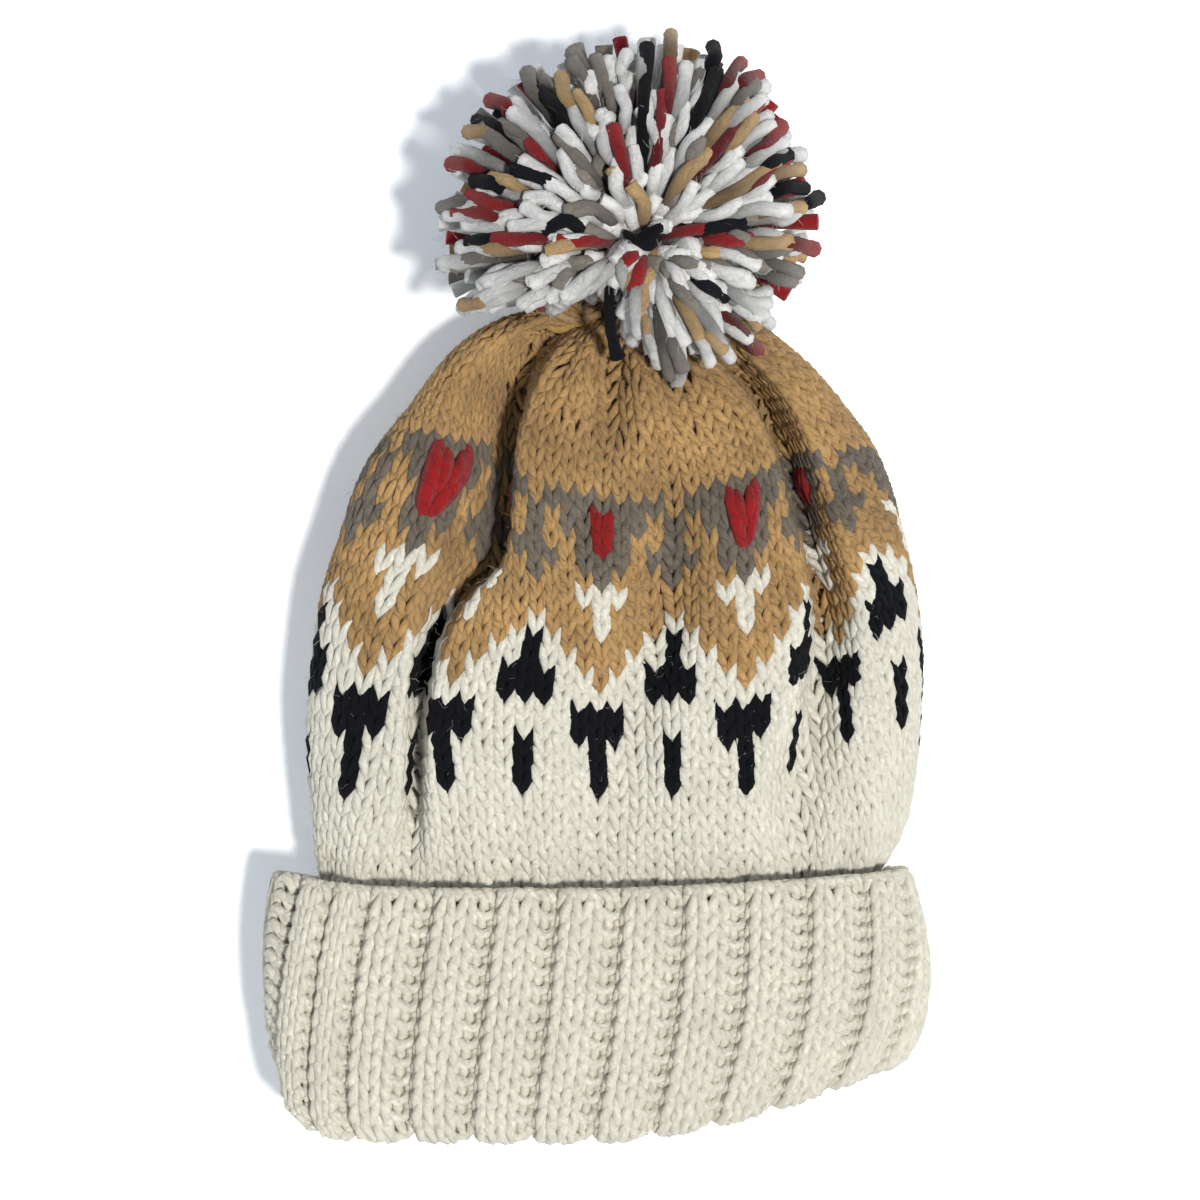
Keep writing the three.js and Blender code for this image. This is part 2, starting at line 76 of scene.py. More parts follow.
# The crown's sections along its length, from its rim inside the cuff to its drawn-in top.
CROWN_START_Y = -101
CROWN_END_Y = 97
SECTION_COLUMNS = ("y", "left", "right", "under", "over")
CROWN_SECTIONS = (
    (-101, -87, 85, 10, 46.5),
    (-91, -87, 86, 9.6, 47),
    (-82, -88.5, 93, 4, 52),
    (-65, -90, 99, 0, 56),
    (-40, -90.8, 101, 0, 60),
    (-19, -88.7, 101.5, 0, 62),
    (0, -85.9, 99.5, 0, 62),
    (18, -80, 95.5, 0, 62),
    (34, -74.7, 91, 0, 61),
    (46, -68, 86, 0, 60),
    (58, -58.6, 77.2, 0, 58),
    (68, -51.2, 68.8, 2, 56),
    (77, -43, 59, 6, 52),
    (84, -32, 49, 11, 47),
    (89, -17, 35, 17, 42),
    (92, -3.5, 21.5, 21, 38.5),
    (97, -3, 21, 21.4, 38.1),
)

# How far a knitted row lies above its middle, towards the pompom, at places across the crown.
DRAPE_PLACES = (-85, -62, -42, -22, 5, 24, 42, 60, 78, 98)
DRAPE = (
    (-101, 0, 0, 1, 0, 0, 0, 0, 2, 5, 8),
    (-64, 0, 0, 2.5, 2, 0, 1, 0, 7, 17.5, 22),
    (-33, 7, 5, 4, 3.5, 0, 3.5, 1, 8, 17, 31),
    (-15, 12, 9, 7, 4, 0, 3, 2.5, 9, 19, 36),
    (4, 16, 13, 10, 4, 0, 1, 2.5, 11, 18, 34),
    (11, 19, 16, 13, 5, 0, 1, 3, 13, 18, 31),
    (26, 25, 23, 19, 8, 0, 2, 7, 14, 17, 21),
    (42, 21, 20, 18, 9, 0, 1, 5, 13, 15, 16),
    (60, 17, 17, 16.5, 10, 0, 1, 5, 11, 13, 14),
    (72, 14, 14, 14, 10, 0, 2, 6, 9, 10, 10),
    (81, 10, 10, 10, 8, 0, 3, 6, 7, 7, 7),
    (89, 6, 6, 6, 5, 0, 3, 4, 4, 4, 4),
    (97, 0, 0, 0, 0, 0, 0, 0, 0, 0, 0),
)

# The crown's folds: where each runs, how deep it is, how wide to either side and how far its bottom
# is tucked sideways for its depth. The first two are the pleats, which also hold a stitch column.
FOLD_COLUMNS = ("y", "x", "depth", "left_width", "right_width", "tuck", "column")
PLEATS = 2
UPPER_FOLDS = (
    (
        (-101, -58, 0, 10, 10, 0, -10.8),
        (-84, -57.5, 5, 5, 5, 0, -10.9),
        (-65, -56, 12.5, 2.6, 2.2, 0, -11.25),
        (-47, -55.2, 15.5, 2.4, 2, 0, -11.3),
        (-31, -54, 16, 2.5, 2.1, 0, -11.8),
        (-16, -51.2, 17, 3, 2.8, 0, -12.1),
        (-3, -45.8, 19, 4.5, 3.8, 0.15, -11.4),
        (9, -39, 23, 7.5, 6, 0.4, -10.6),
        (28, -36.5, 26, 8, 6, 0.45, -10.4),
        (46, -35, 26, 8, 6, 0.4, -10.2),
        (59, -31, 22, 9, 6.5, 0.3, -10),
        (71, -23.6, 18, 8.5, 6, 0.2, -10),
        (79, -15, 13, 7.5, 5.5, 0.1, -10),
        (90, 3, 4, 4, 4, 0, -10),
        (97, 5, 1, 3, 3, 0, -10),
    ),
    (
        (-101, 61, 0, 12, 12, 0, 10.8),
        (-84, 61, 4, 12, 12, 0, 11.2),
        (-59, 63.2, 11, 8, 10, 0, 13.2),
        (-34, 68.5, 16, 5, 8, -0.1, 14.5),
        (-10, 71.5, 18, 4.6, 6, -0.15, 15.4),
        (3, 70.5, 20, 4, 4.4, -0.12, 15.8),
        (21, 66.5, 21, 3.8, 3.8, -0.12, 15.7),
        (43, 60, 22, 3.6, 3.4, -0.12, 15.3),
        (59, 52.5, 21, 3.6, 3.3, -0.12, 15.4),
        (71, 42, 17, 3.6, 3.3, -0.1, 15.6),
        (80, 31, 11, 4.5, 5, 0, 16),
        (90, 15, 4, 4, 4, 0, 16),
        (97, 13, 1, 3, 3, 0, 16),
    ),
    (
        (-101, 4, 0, 13, 13, 0),
        (-84, 5, 3, 12, 12, 0),
        (-59, 6.8, 7, 12, 12, 0),
        (-34, 12, 9, 12, 10, 0),
        (-16, 18.3, 10, 10, 9, 0),
        (9, 22.3, 9, 9, 9, 0),
        (28, 23.6, 6, 8, 8, 0),
        (42, 24, 0, 8, 8, 0),
        (97, 20, 0, 6, 6, 0),
    ),
    (
        (-101, 4.3, 0, 6, 6, 0),
        (36, 4.3, 0, 6, 6, 0),
        (50, 4.3, 5, 5.5, 5.5, 0),
        (65, 5, 8, 5, 5, 0),
        (77, 5.5, 8, 4.5, 4.5, 0),
        (90, 8, 4, 4, 4, 0),
        (97, 9, 1, 3, 3, 0),
    ),
    (
        (-101, 24, 0, 6, 6, 0),
        (52, 26, 0, 6, 6, 0),
        (64, 24, 4, 5, 5, 0),
        (76, 19, 6, 4.5, 4.5, 0),
        (90, 13, 3, 3, 3, 0),
        (97, 12, 0, 3, 3, 0),
    ),
    (
        (-101, -12, 0, 6, 6, 0),
        (54, -13, 0, 6, 6, 0),
        (66, -12, 4, 5, 5, 0),
        (78, -7, 5.5, 4.5, 4.5, 0),
        (90, 5, 3, 3, 3, 0),
        (97, 6, 0, 3, 3, 0),
    ),
)
UNDER_FOLDS = (
    (
        (-101, 46, 0, 12, 12, 0),
        (-60, 46, 7, 11, 11, 0),
        (30, 40, 10, 10, 10, 0),
        (70, 26, 10, 8, 8, 0),
        (90, 14, 3, 4, 4, 0),
        (97, 13, 1, 3, 3, 0),
    ),
    (
        (-101, 4, 0, 12, 12, 0),
        (-60, 4, 7, 11, 11, 0),
        (30, 7, 10, 10, 10, 0),
        (70, 9, 10, 8, 8, 0),
        (90, 9, 3, 4, 4, 0),
        (97, 9, 1, 3, 3, 0),
    ),
    (
        (-101, -40, 0, 12, 12, 0),
        (-60, -40, 7, 11, 11, 0),
        (30, -28, 10, 10, 10, 0),
        (70, -12, 10, 8, 8, 0),
        (90, 4, 3, 4, 4, 0),
        (97, 5, 1, 3, 3, 0),
    ),
)
# Where stitch columns run between the folds.
GUIDE_COLUMNS = ("y", "x")
GUIDES = {
    -16: (
        (-101, -84), (-65, -79.3), (-47, -75.3), (-15, -70), (18, -55),
        (36, -47), (60, -41), (80, -28), (97, -1),
    ),
    0: ((-101, 1), (-47, 0.6), (-13, 1.5), (18, 1.2), (50, 3), (80, 5), (97, 8)),
    8: ((-101, 46), (-47, 45.6), (18, 45.6), (36, 44), (60, 36), (80, 24), (97, 12)),
}
# A dent in the crown's top.
POCKET = {"x": -2.0, "y": 20.0, "depth": 7.0, "radius": 10.0}
# The flutes that the ribbing leaves above the cuff: their depth, where they fade out along the crown
# and the stitch of each rib that isn't sunk.
FLUTE_DEPTH = 2.4
FLUTE_FADE_Y = (-101, -60)
FLUTE_TOP = 1.5
# How fast the drape and the folds fade where the cloth turns from facing up to facing sideways.
DRAPE_FADE = 1.5
FOLD_FADE = 1.6
# The rows rise over the crown's end from here on, so that they are counted along the slope.
SLOPE_FROM_Y = 40

# The cuff's sections from its edge to the fold, and the furrows between its ribs.
CUFF_COLUMNS = ("down", "left", "right", "under", "over")
CUFF_SECTIONS = (
    (0, -100.5, 96.5, 0.6, 57),
    (0.25, -102.8, 100.5, 0, 58.5),
    (0.5, -103.2, 102.6, 0, 59),
    (0.75, -102, 101.2, 0, 58),
    (0.9, -99.5, 97.5, 0, 56.5),
    (1, -98, 94.5, 0.4, 55.5),
)
CUFF_TOP_Y = -91.3
CUFF_TOP_RISE_RIGHT = 4.8
CUFF_TOP_RISE_LEFT = 3.9
BRIM_Y = -169.5
BRIM_RISE_RIGHT = 21.0
BRIM_RISE_LEFT = 18.0
INNER_BAND_TOP_Y = -100.6
FRONT_FURROWS = (-98.9, -89.3, -77.5, -56.7, -36, -15.8, 5.3, 25.7, 46.2, 66.7, 85.9, 98.9)
# How many rows of points follow the cuff down its outer face, round the fold and up inside.
OUTER_STATIONS = 50
FOLD_STATIONS = 14
INNER_STATIONS = 40

# The crown's lowest row, hidden in the cuff.
LOWEST_ROW = -6

# Rows of the knitted pattern, each over eight stitches from a heart's middle to the next: w white,
# k black, t tan, g grey and r red.
PATTERN_ROWS = {
    1: "kwwwkwww",
    2: "kwwwkwww",
    3: "kwwwkwww",
    4: "kkwwwwwk",
    5: "kkwwwwwk",
    6: "wwwkkkww",
    7: "twwkkkww",
    8: "ttwwkwwt",
    9: "tttwkwtt",
    10: "wtttwttt",
    11: "wttttttt",
    12: "wwtttttw",
    13: "gtttgttt",
    14: "ggtgggtg",
    15: "ggttgttg",
    16: "gggtgtgg",
    17: "ggggtggg",
}
# Each heart is two wide stitches, one over the other: the row of its point, the row of its tips, how
# far these spread, how thick the yarn lies and how far it stands out.
HEART_LOOPS = ((14.95, 18.1, 0.72, 2.5, 0.0), (15.9, 17.7, 0.36, 1.9, 0.8))
# The hearts: column, how far sunk in and how wide. The two at the sides stand a little further round.
HEARTS = (
    (0, 1.4, 0.6),
    (8, 0.0, 1.0),
    (16.6, 1.6, 0.7),
    (28.4, 0.9, 0.75),
    (32, 0.0, 1.0),
    (40, 0.0, 1.0),
    (48, 0.0, 1.0),
    (56, 0.0, 1.0),
    (61, 0.9, 0.8),
    (72, 0.0, 1.35),
    (80, 1.4, 0.8),
)
# From which row on the crown has how many stitches round.
DECREASES = ((LOWEST_ROW, 88), (22, 66), (25, 44), (29, 33), (32, 22))
FIRST_PATTERN_ROW_Y = -65.2
YARN_NAMES = {"w": "white", "k": "black", "t": "tan", "g": "grey", "r": "red"}


def rows_of(table, columns):
    """The table's columns by name. A table may leave out the last ones."""
    return {name: np.array(values, float) for name, values in zip(columns, zip(*table))}


def smooth_value(rows, key, column, place):
    """The smooth curve through a table's column, at a place or at many."""
    x, y = rows[key], rows[column]
    slope = np.empty_like(y)
    slope[1:-1] = (y[2:] - y[:-2]) / (x[2:] - x[:-2])
    slope[0] = (y[1] - y[0]) / (x[1] - x[0])
    slope[-1] = (y[-1] - y[-2]) / (x[-1] - x[-2])
    place = np.clip(place, x[0], x[-1])
    i = np.clip(np.searchsorted(x, place, side="right") - 1, 0, len(x) - 2)
    step = x[i + 1] - x[i]
    t = (place - x[i]) / step
    return (
        (2 * t**3 - 3 * t**2 + 1) * y[i]
        + (t**3 - 2 * t**2 + t) * step * slope[i]
        + (3 * t**2 - 2 * t**3) * y[i + 1]
        + (t**3 - t**2) * step * slope[i + 1]
    )


def section_at(rows, key, place):
    return {name: smooth_value(rows, key, name, place) for name in rows if name != key}


def section_points(section, angle, inset):
    """Points of a rounded section, moved inwards by inset, and how far up each faces. Angle 0 is at
    the right and a right angle on top."""
    middle = (section["under"] + section["over"]) / 2
    power = 2 / ROUNDNESS
    across = np.sign(np.cos(angle)) * np.abs(np.cos(angle)) ** power
    upward = np.sign(np.sin(angle)) * np.abs(np.sin(angle)) ** power
    half = (section["right"] - section["left"]) / 2 - inset
    reach = np.where(
        upward > 0,
        section["over"] - middle - inset,
        middle - section["under"] - inset + FLOOR_PRESS,
    )
    x = (section["left"] + section["right"]) / 2 + half * across
    z = np.maximum(middle + reach * upward, np.maximum(section["under"], 0) + inset)
    return x, z, upward


def sampled(grid, row, column):
    """Values of a grid at fractional places. Columns wrap round and rows are clamped."""
    count = grid.shape[1]
    row = np.clip(row, 0, grid.shape[0] - 1.001)
    r = np.floor(row).astype(int)
    fr = (row - r)[..., None]
    c = np.floor(column).astype(int)
    fc = (column - c)[..., None]
    a, b = c % count, (c + 1) % count
    return (grid[r, a] * (1 - fc) + grid[r, b] * fc) * (1 - fr) + (
        grid[r + 1, a] * (1 - fc) + grid[r + 1, b] * fc
    ) * fr


def unit(vectors):
    return vectors / np.maximum(np.linalg.norm(vectors, axis=-1, keepdims=True), 1e-9)


def lengths_along(points):
    """How far each point of a line is from the first, along the line."""
    return np.concatenate([[0], np.cumsum(np.linalg.norm(np.diff(points, axis=0), axis=-1))])


def outward_normals(points, tested=slice(None)):
    """Normals of a grid that wraps round, which point outwards on the rows that are tested, and the
    steps round it from column to column."""
    along = np.gradient(points, axis=0)
    around = (np.roll(points, -1, axis=1) - np.roll(points, 1, axis=1)) / 2
    normal = unit(np.cross(around, along))
    middle = points.mean(axis=1, keepdims=True)
    if ((points - middle) * normal)[tested].sum(-1).mean() < 0:
        normal = -normal
    return normal, around


class Fabric:
    """A knitted surface, as a grid of points: rows along it and stitch columns round it."""

    def __init__(self, points, row_places, per_column):
        self.points = points
        self.row_places = row_places
        self.per_column = per_column
        normal, around = outward_normals(points)
        for _ in range(2):
            normal = unit(normal + np.roll(normal, 1, 1) + np.roll(normal, -1, 1))
            normal[1:-1] = unit(normal[1:-1] + normal[2:] + normal[:-2])
        self.normals = normal
        self.widths = np.linalg.norm(around, axis=-1, keepdims=True) * per_column

    def at(self, row, column):
        """Point, normal and stitch width at each row and column."""
        r = np.interp(row, self.row_places, np.arange(len(self.row_places)))
        c = column * self.per_column
        return (
            sampled(self.points, r, c),
            unit(sampled(self.normals, r, c)),
            sampled(self.widths, r, c)[..., 0],
        )

    def place(self, row, column, lift):
        point, normal, width = self.at(row, column)
        return point + normal * np.asarray(lift)[..., None], width


def row_of_y(y):
    """Rows of the crown, counted along the cloth from the first pattern row."""
    fine = np.linspace(CROWN_START_Y, CROWN_END_Y, 800)
    rows = rows_of(CROWN_SECTIONS, SECTION_COLUMNS)
    top = smooth_value(rows, "y", "over", fine)
    step = np.hypot(np.diff(fine), np.diff(top) * (fine[1:] > SLOPE_FROM_Y))
    length = np.concatenate([[0], np.cumsum(step)])
    base = np.interp(FIRST_PATTERN_ROW_Y, fine, length)
    return (np.interp(y, fine, length) - base) / props().row_height + 1


def drape_rise(station, x):
    """How far the row whose middle is at a station lies above it, at places across the crown."""
    names = ("y", *(str(place) for place in DRAPE_PLACES))
    rows = rows_of(DRAPE, names)
    rise = [smooth_value(rows, "y", name, station) for name in names[1:]]
    return smooth_value({"x": np.array(DRAPE_PLACES, float), "rise": np.array(rise)}, "x", "rise", x)


def fold_press(folds, x, y):
    """How far the folds press the cloth in at each place, and how far sideways."""
    press = np.zeros_like(x)
    aside = np.zeros_like(x)
    for fold in folds:
        here = {name: smooth_value(fold, "y", name, y) for name in FOLD_COLUMNS[1:6]}
        off = x - here["x"]
        width = np.where(off < 0, here["left_width"], here["right_width"])
        deep = here["depth"] * np.exp(-((off / width) ** 2))
        press += deep
        aside += deep * here["tuck"]
    return press, aside


def crossing(table, x, y, length):
    """The distance round the section at which the cloth crosses a table's line."""
    return float(np.interp(0, x - smooth_value(table, "y", "x", y), length))


def wrapped_marks(marks, total):
    """The marks in order, with the last one repeated a turn earlier and the first one a turn later."""
    marks = sorted(marks)
    before = (marks[-1][0] - BODY_STITCHES, marks[-1][1] - total)
    after = (marks[0][0] + BODY_STITCHES, marks[0][1] + total)
    return [before, *marks, after]


def crown_fabric(per_column=8, stations=230):
    """The crown's surface with its rows draped and its folds pressed in. The pleats and the guides
    hold their stitch columns."""
    sections = rows_of(CROWN_SECTIONS, SECTION_COLUMNS)
    upper = [rows_of(fold, FOLD_COLUMNS) for fold in UPPER_FOLDS]
    under = [rows_of(fold, FOLD_COLUMNS) for fold in UNDER_FOLDS]
    guides = {column: rows_of(table, GUIDE_COLUMNS) for column, table in GUIDES.items()}
    stops = np.linspace(CROWN_START_Y + 0.5, CROWN_END_Y, stations)
    columns = np.arange(BODY_STITCHES * per_column) / per_column
    angle = -math.pi / 2 - np.arange(CURVE_SAMPLES + 1) / CURVE_SAMPLES * 2 * math.pi
    quarter = CURVE_SAMPLES // 4
    top = slice(quarter, 3 * quarter + 1)
    grid = np.empty((stations, len(columns), 3))
    for k, stop in enumerate(stops):
        y = np.full_like(angle, stop)
        # a row's rise depends on its width and its width on its rise, so they are found together
        for _ in range(6):
            x, z, upward = section_points(section_at(sections, "y", y), angle, 0)
            share = np.clip(0.5 + upward * DRAPE_FADE, 0, 1)
            y = np.clip(stop + drape_rise(stop, x) * share, CROWN_START_Y, CROWN_END_Y)
        facing = np.minimum(1, np.abs(upward) * FOLD_FADE)
        above, aside = fold_press(upper, x, y)
        press = np.where(upward > 0, above, -fold_press(under, x, y)[0])
        away = np.hypot(x - POCKET["x"], y - POCKET["y"]) / POCKET["radius"]
        press = press + POCKET["depth"] * np.exp(-(away**2)) * (upward > 0)
        folded = x + aside * facing * (upward > 0)
        points = np.stack([folded, y, z - press * facing], axis=-1)
        length = lengths_along(points)
        held = [(float(smooth_value(fold, "y", "column", stop)), fold) for fold in upper[:PLEATS]]
        held += guides.items()
        marks = [(column, crossing(table, x[top], y[top], length[top])) for column, table in held]
        marks = wrapped_marks(marks, length[-1])
        first = marks[1][0]
        wrapped = (columns - first) % BODY_STITCHES + first
        at = np.interp(wrapped, [m[0] for m in marks], [m[1] for m in marks]) % length[-1]
        for axis in range(3):
            grid[k, :, axis] = np.interp(at, length, points[:, axis])
    fabric = Fabric(grid + FRAME_SHIFT, row_of_y(stops), per_column)
    start, end = FLUTE_FADE_Y
    fade = np.clip((end - stops) / (end - start), 0, 1)[:, None, None]
    flute = (0.5 - 0.5 * np.cos(2 * math.pi * (columns - FLUTE_TOP) / RIB_STITCHES))[None, :, None]
    sunk = fabric.points - fabric.normals * FLUTE_DEPTH * flute * fade
    return Fabric(sunk, fabric.row_places, per_column)


def even_angles(section):
    """Angles that divide the way round a section into equal lengths."""
    angle = np.linspace(0, 2 * math.pi, 2 * WAY_SAMPLES + 1)
    x, z, _ = section_points(section, angle, 0)
    length = np.concatenate([[0], np.cumsum(np.hypot(np.diff(x), np.diff(z)))])
    return np.interp(np.arange(WAY_SAMPLES + 1) / WAY_SAMPLES * length[-1], length, angle)


def rib_starts():
    """Where each rib starts on the way round the cuff, as a share of the way, from the left side over
    the front to the right side and back underneath."""
    section = section_at(rows_of(CUFF_SECTIONS, CUFF_COLUMNS), "down", 0.5)
    x, _, _ = section_points(section, even_angles(section), 0)
    half = WAY_SAMPLES // 2 + 1
    front = [
        np.interp(-furrow, -x[:half], np.arange(half)) / WAY_SAMPLES for furrow in FRONT_FURROWS
    ]
    hidden = RIBS - len(front) + 1
    rest = 1 - front[0] + front[-1]
    starts = front + [front[-1] - rest * k / hidden for k in range(1, hidden)]
    return np.array(starts + [front[0] - 1])


# How far the ribs lean to the right from the cuff's top to its bottom, as a share of the way round.
RIB_LEAN = 0.024
# How far round its rib each half stitch reaches: a sunk purl, two raised knits and a sunk purl.
RIB_SHARES = (0.0, 0.05, 0.37, 0.70, 1.0)


def cuff_fabric(per_column=8):
    """The middle of the turned-up ribbing, from its edge down the outer face, round the fold and up
    inside to its join with the crown."""
    sections = rows_of(CUFF_SECTIONS, CUFF_COLUMNS)
    starts = rib_starts()
    columns = np.arange(BODY_STITCHES * per_column) / per_column
    rib = (columns // RIB_STITCHES).astype(int)
    share = np.interp(columns % RIB_STITCHES, np.arange(RIB_STITCHES + 1), RIB_SHARES)
    way = starts[rib] + share * (starts[rib + 1] - starts[rib])
    angles = even_angles(section_at(sections, "down", 0.5))

    def angle_at(way):
        return np.interp(way % 1 * WAY_SAMPLES, np.arange(WAY_SAMPLES + 1), angles)

    across = np.cos(angle_at(way))
    right, left = np.maximum(across, 0), np.maximum(-across, 0)
    top = CUFF_TOP_Y + CUFF_TOP_RISE_RIGHT * right + CUFF_TOP_RISE_LEFT * left**6
    brim = BRIM_Y + BRIM_RISE_RIGHT * right**1.5 + BRIM_RISE_LEFT * left**16
    edge = top - 1.5
    end = INNER_BAND_TOP_Y - 1
    outer_inset = RIB_WALL / 2
    bend = (RIB_WALL + LAYER_GAP) / 2
    turn = brim + RIB_WALL + LAYER_GAP / 2
    steps = []
    for t in np.linspace(0, 1, OUTER_STATIONS):
        steps.append((outer_inset + 0 * across, edge + (turn - edge) * t))
    for t in np.linspace(0, 1, FOLD_STATIONS)[1:-1]:
        phi = t * math.pi
        steps.append((outer_inset + bend * (1 - math.cos(phi)) + 0 * across, turn - bend * math.sin(phi)))
    for t in np.linspace(0, 1, INNER_STATIONS):
        steps.append((outer_inset + 2 * bend + 0 * across, turn + (end - turn) * t))
    grid = np.empty((len(steps), len(columns), 3))
    for k, (inset, y) in enumerate(steps):
        down = (y - top) / (brim - top)
        section = section_at(sections, "down", down)
        x, z, _ = section_points(section, angle_at(way + RIB_LEAN * (down - 0.5)), inset)
        grid[k] = np.stack([x, y, z], axis=-1)
    front = grid[:, : (len(FRONT_FURROWS) - 1) * RIB_STITCHES * per_column]
    length = np.concatenate([[0], np.cumsum(np.linalg.norm(np.diff(front, axis=0), axis=-1).mean(1))])
    fabric = Fabric(grid + FRAME_SHIFT, length / props().rib_row_height, per_column)
    # the cloth's outside faces outwards on the outer leg and into the hollow on the inner one
    fabric.normals, _ = outward_normals(grid, slice(0, 20))
    return fabric


class Yarn:
    """Collects strands, each a row of points with a thickness and the distance along it."""

    def __init__(self):
        self.points = []
        self.thickness = []
        self.along = []
        self.edges = []
        self.colors = []
        self.count = 0

    def add(self, points, thickness, start=0.0, color=None):
        """Adds a strand, lifted to where it lies on the surface below."""
        points = np.array(points, float)
        n = len(points)
        points[:, 2] = np.maximum(points[:, 2], thickness)
        if color is not None:
            self.colors.append(np.tile([*color, 1.0], (n, 1)))
        self.points.append(points)
        self.thickness.append(np.broadcast_to(thickness, (n,)))
        self.along.append(lengths_along(points) + start)
        first = np.arange(self.count, self.count + n - 1)
        self.edges.append(np.stack([first, first + 1], axis=-1))
        self.count += n

    def mesh(self, name):
        mesh = bpy.data.meshes.new(name)
        points = np.concatenate(self.points) * MM
        edges = np.concatenate(self.edges)
        mesh.vertices.add(len(points))
        mesh.vertices.foreach_set("co", points.astype(np.float32).ravel())
        mesh.edges.add(len(edges))
        mesh.edges.foreach_set("vertices", edges.astype(np.int32).ravel())
        for label, values in (("thickness", self.thickness), ("along", self.along)):
            attribute = mesh.attributes.new(label, "FLOAT", "POINT")
            attribute.data.foreach_set("value", (np.concatenate(values) * MM).astype(np.float32))
        if self.colors:
            color_points(mesh, np.concatenate(self.colors))
        return mesh


def color_points(mesh, rgba):
    """Gives a mesh the colour of the yarn at each of its points."""
    attribute = mesh.attributes.new("yarn", "FLOAT_COLOR", "POINT")
    attribute.data.foreach_set("color", rgba.astype(np.float32).ravel())


def feed(tree, node, inputs):
    """Feeds a node's inputs, by name or place, from sockets or values."""
    for name, source in inputs.items():
        if isinstance(source, bpy.types.NodeSocket):
            tree.links.new(source, node.inputs[name])
        elif source is not None:
            node.inputs[name].default_value = source
    return node


def linked(tree, kind, *sources, **settings):
    """A new node with its properties set and its first inputs fed."""
    node = tree.nodes.new(kind)
    for name, value in settings.items():
        setattr(node, name, value)
    return feed(tree, node, dict(enumerate(sources)))


def yarn_tree():
    """Geometry nodes that wrap every strand of a wire mesh in a round yarn with its own UV map."""
    label = "Yarn on Strands"
    if label in bpy.data.node_groups:
        return bpy.data.node_groups[label]
    tree = bpy.data.node_groups.new(label, "GeometryNodeTree")
    face = tree.interface
    face.new_socket("Geometry", in_out="INPUT", socket_type="NodeSocketGeometry")
    sides = face.new_socket("Sides", in_out="INPUT", socket_type="NodeSocketInt")
    sides.default_value = 6
    face.new_socket("Material", in_out="INPUT", socket_type="NodeSocketMaterial")
    face.new_socket("Geometry", in_out="OUTPUT", socket_type="NodeSocketGeometry")
    start = tree.nodes.new("NodeGroupInput")
    end = tree.nodes.new("NodeGroupOutput")

    def store(geometry, name, value, **settings):
        node = linked(tree, "GeometryNodeStoreNamedAttribute", geometry, None, name, **settings)
        return feed(tree, node, {"Value": value}).outputs[0]

    def named(name):
        return linked(tree, "GeometryNodeInputNamedAttribute", name).outputs["Attribute"]

    resolution = linked(tree, "ShaderNodeMath", start.outputs["Sides"], 1.0, operation="ADD")
    arc = linked(tree, "GeometryNodeCurveArc", mode="RADIUS")
    sizes = {"Radius": 1.0, "Start Angle": 0.0, "Sweep Angle": 2 * math.pi}
    feed(tree, arc, {"Resolution": resolution.outputs[0], **sizes})
    turn = tree.nodes.new("GeometryNodeSplineParameter")
    profile = store(arc.outputs["Curve"], "around", turn.outputs["Factor"])
    strands = linked(tree, "GeometryNodeMeshToCurve", start.outputs["Geometry"])
    wrapped = linked(tree, "GeometryNodeCurveToMesh", strands.outputs["Curve"], profile)
    feed(tree, wrapped, {"Scale": named("thickness")})
    uv = linked(tree, "ShaderNodeCombineXYZ", named("around"), named("along"), 0.0)
    mapped = store(wrapped.outputs["Mesh"], "UVMap", uv.outputs[0], data_type="FLOAT2", domain="CORNER")
    closed = linked(tree, "GeometryNodeMergeByDistance", mapped)
    feed(tree, closed, {"Distance": 2e-6})
    smooth = linked(tree, "GeometryNodeSetShadeSmooth", closed.outputs[0])
    real = linked(tree, "GeometryNodeRealizeInstances", smooth.outputs[0])
    finish = linked(tree, "GeometryNodeSetMaterial", real.outputs[0])
    feed(tree, finish, {"Material": start.outputs["Material"]})
    feed(tree, end, {0: finish.outputs[0]})
    return tree


def made_piece(name, mesh, tree=None, settings=None):
    """An object from a mesh, with a geometry node tree's result applied to it."""
    piece = bpy.data.objects.new(name, mesh)
    bpy.context.scene.collection.objects.link(piece)
    if tree is None:
        return piece
    modifier = piece.modifiers.new(tree.name, "NODES")
    modifier.node_group = tree
    for item in tree.interface.items_tree:
        if item.in_out == "INPUT" and item.name in (settings or {}):
            modifier[item.identifier] = settings[item.name]
    depsgraph = bpy.context.evaluated_depsgraph_get()
    result = bpy.data.meshes.new_from_object(piece.evaluated_get(depsgraph), depsgraph=depsgraph)
    result.name = name
    piece.modifiers.clear()
    piece.data = result
    bpy.data.meshes.remove(mesh)
    return piece


def dressed(piece, slot, *nodes):
    """Hands a finished piece to the frame."""
    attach(piece, "root")
    if nodes:
        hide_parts(*nodes)


def strand_piece(name, yarn, sides, material, slot, *nodes):
    """Makes one piece of all the strands that a yarn holds."""
    settings = {"Sides": sides, "Material": material}
    dressed(made_piece(name, yarn.mesh(name), yarn_tree(), settings), slot, *nodes)


def linear(color):
    """Linear light from a screen colour."""
    return tuple(c / 12.92 if c <= 0.04045 else ((c + 0.055) / 1.055) ** 2.4 for c in color)


def props():
    return bpy.context.scene.knit_toque


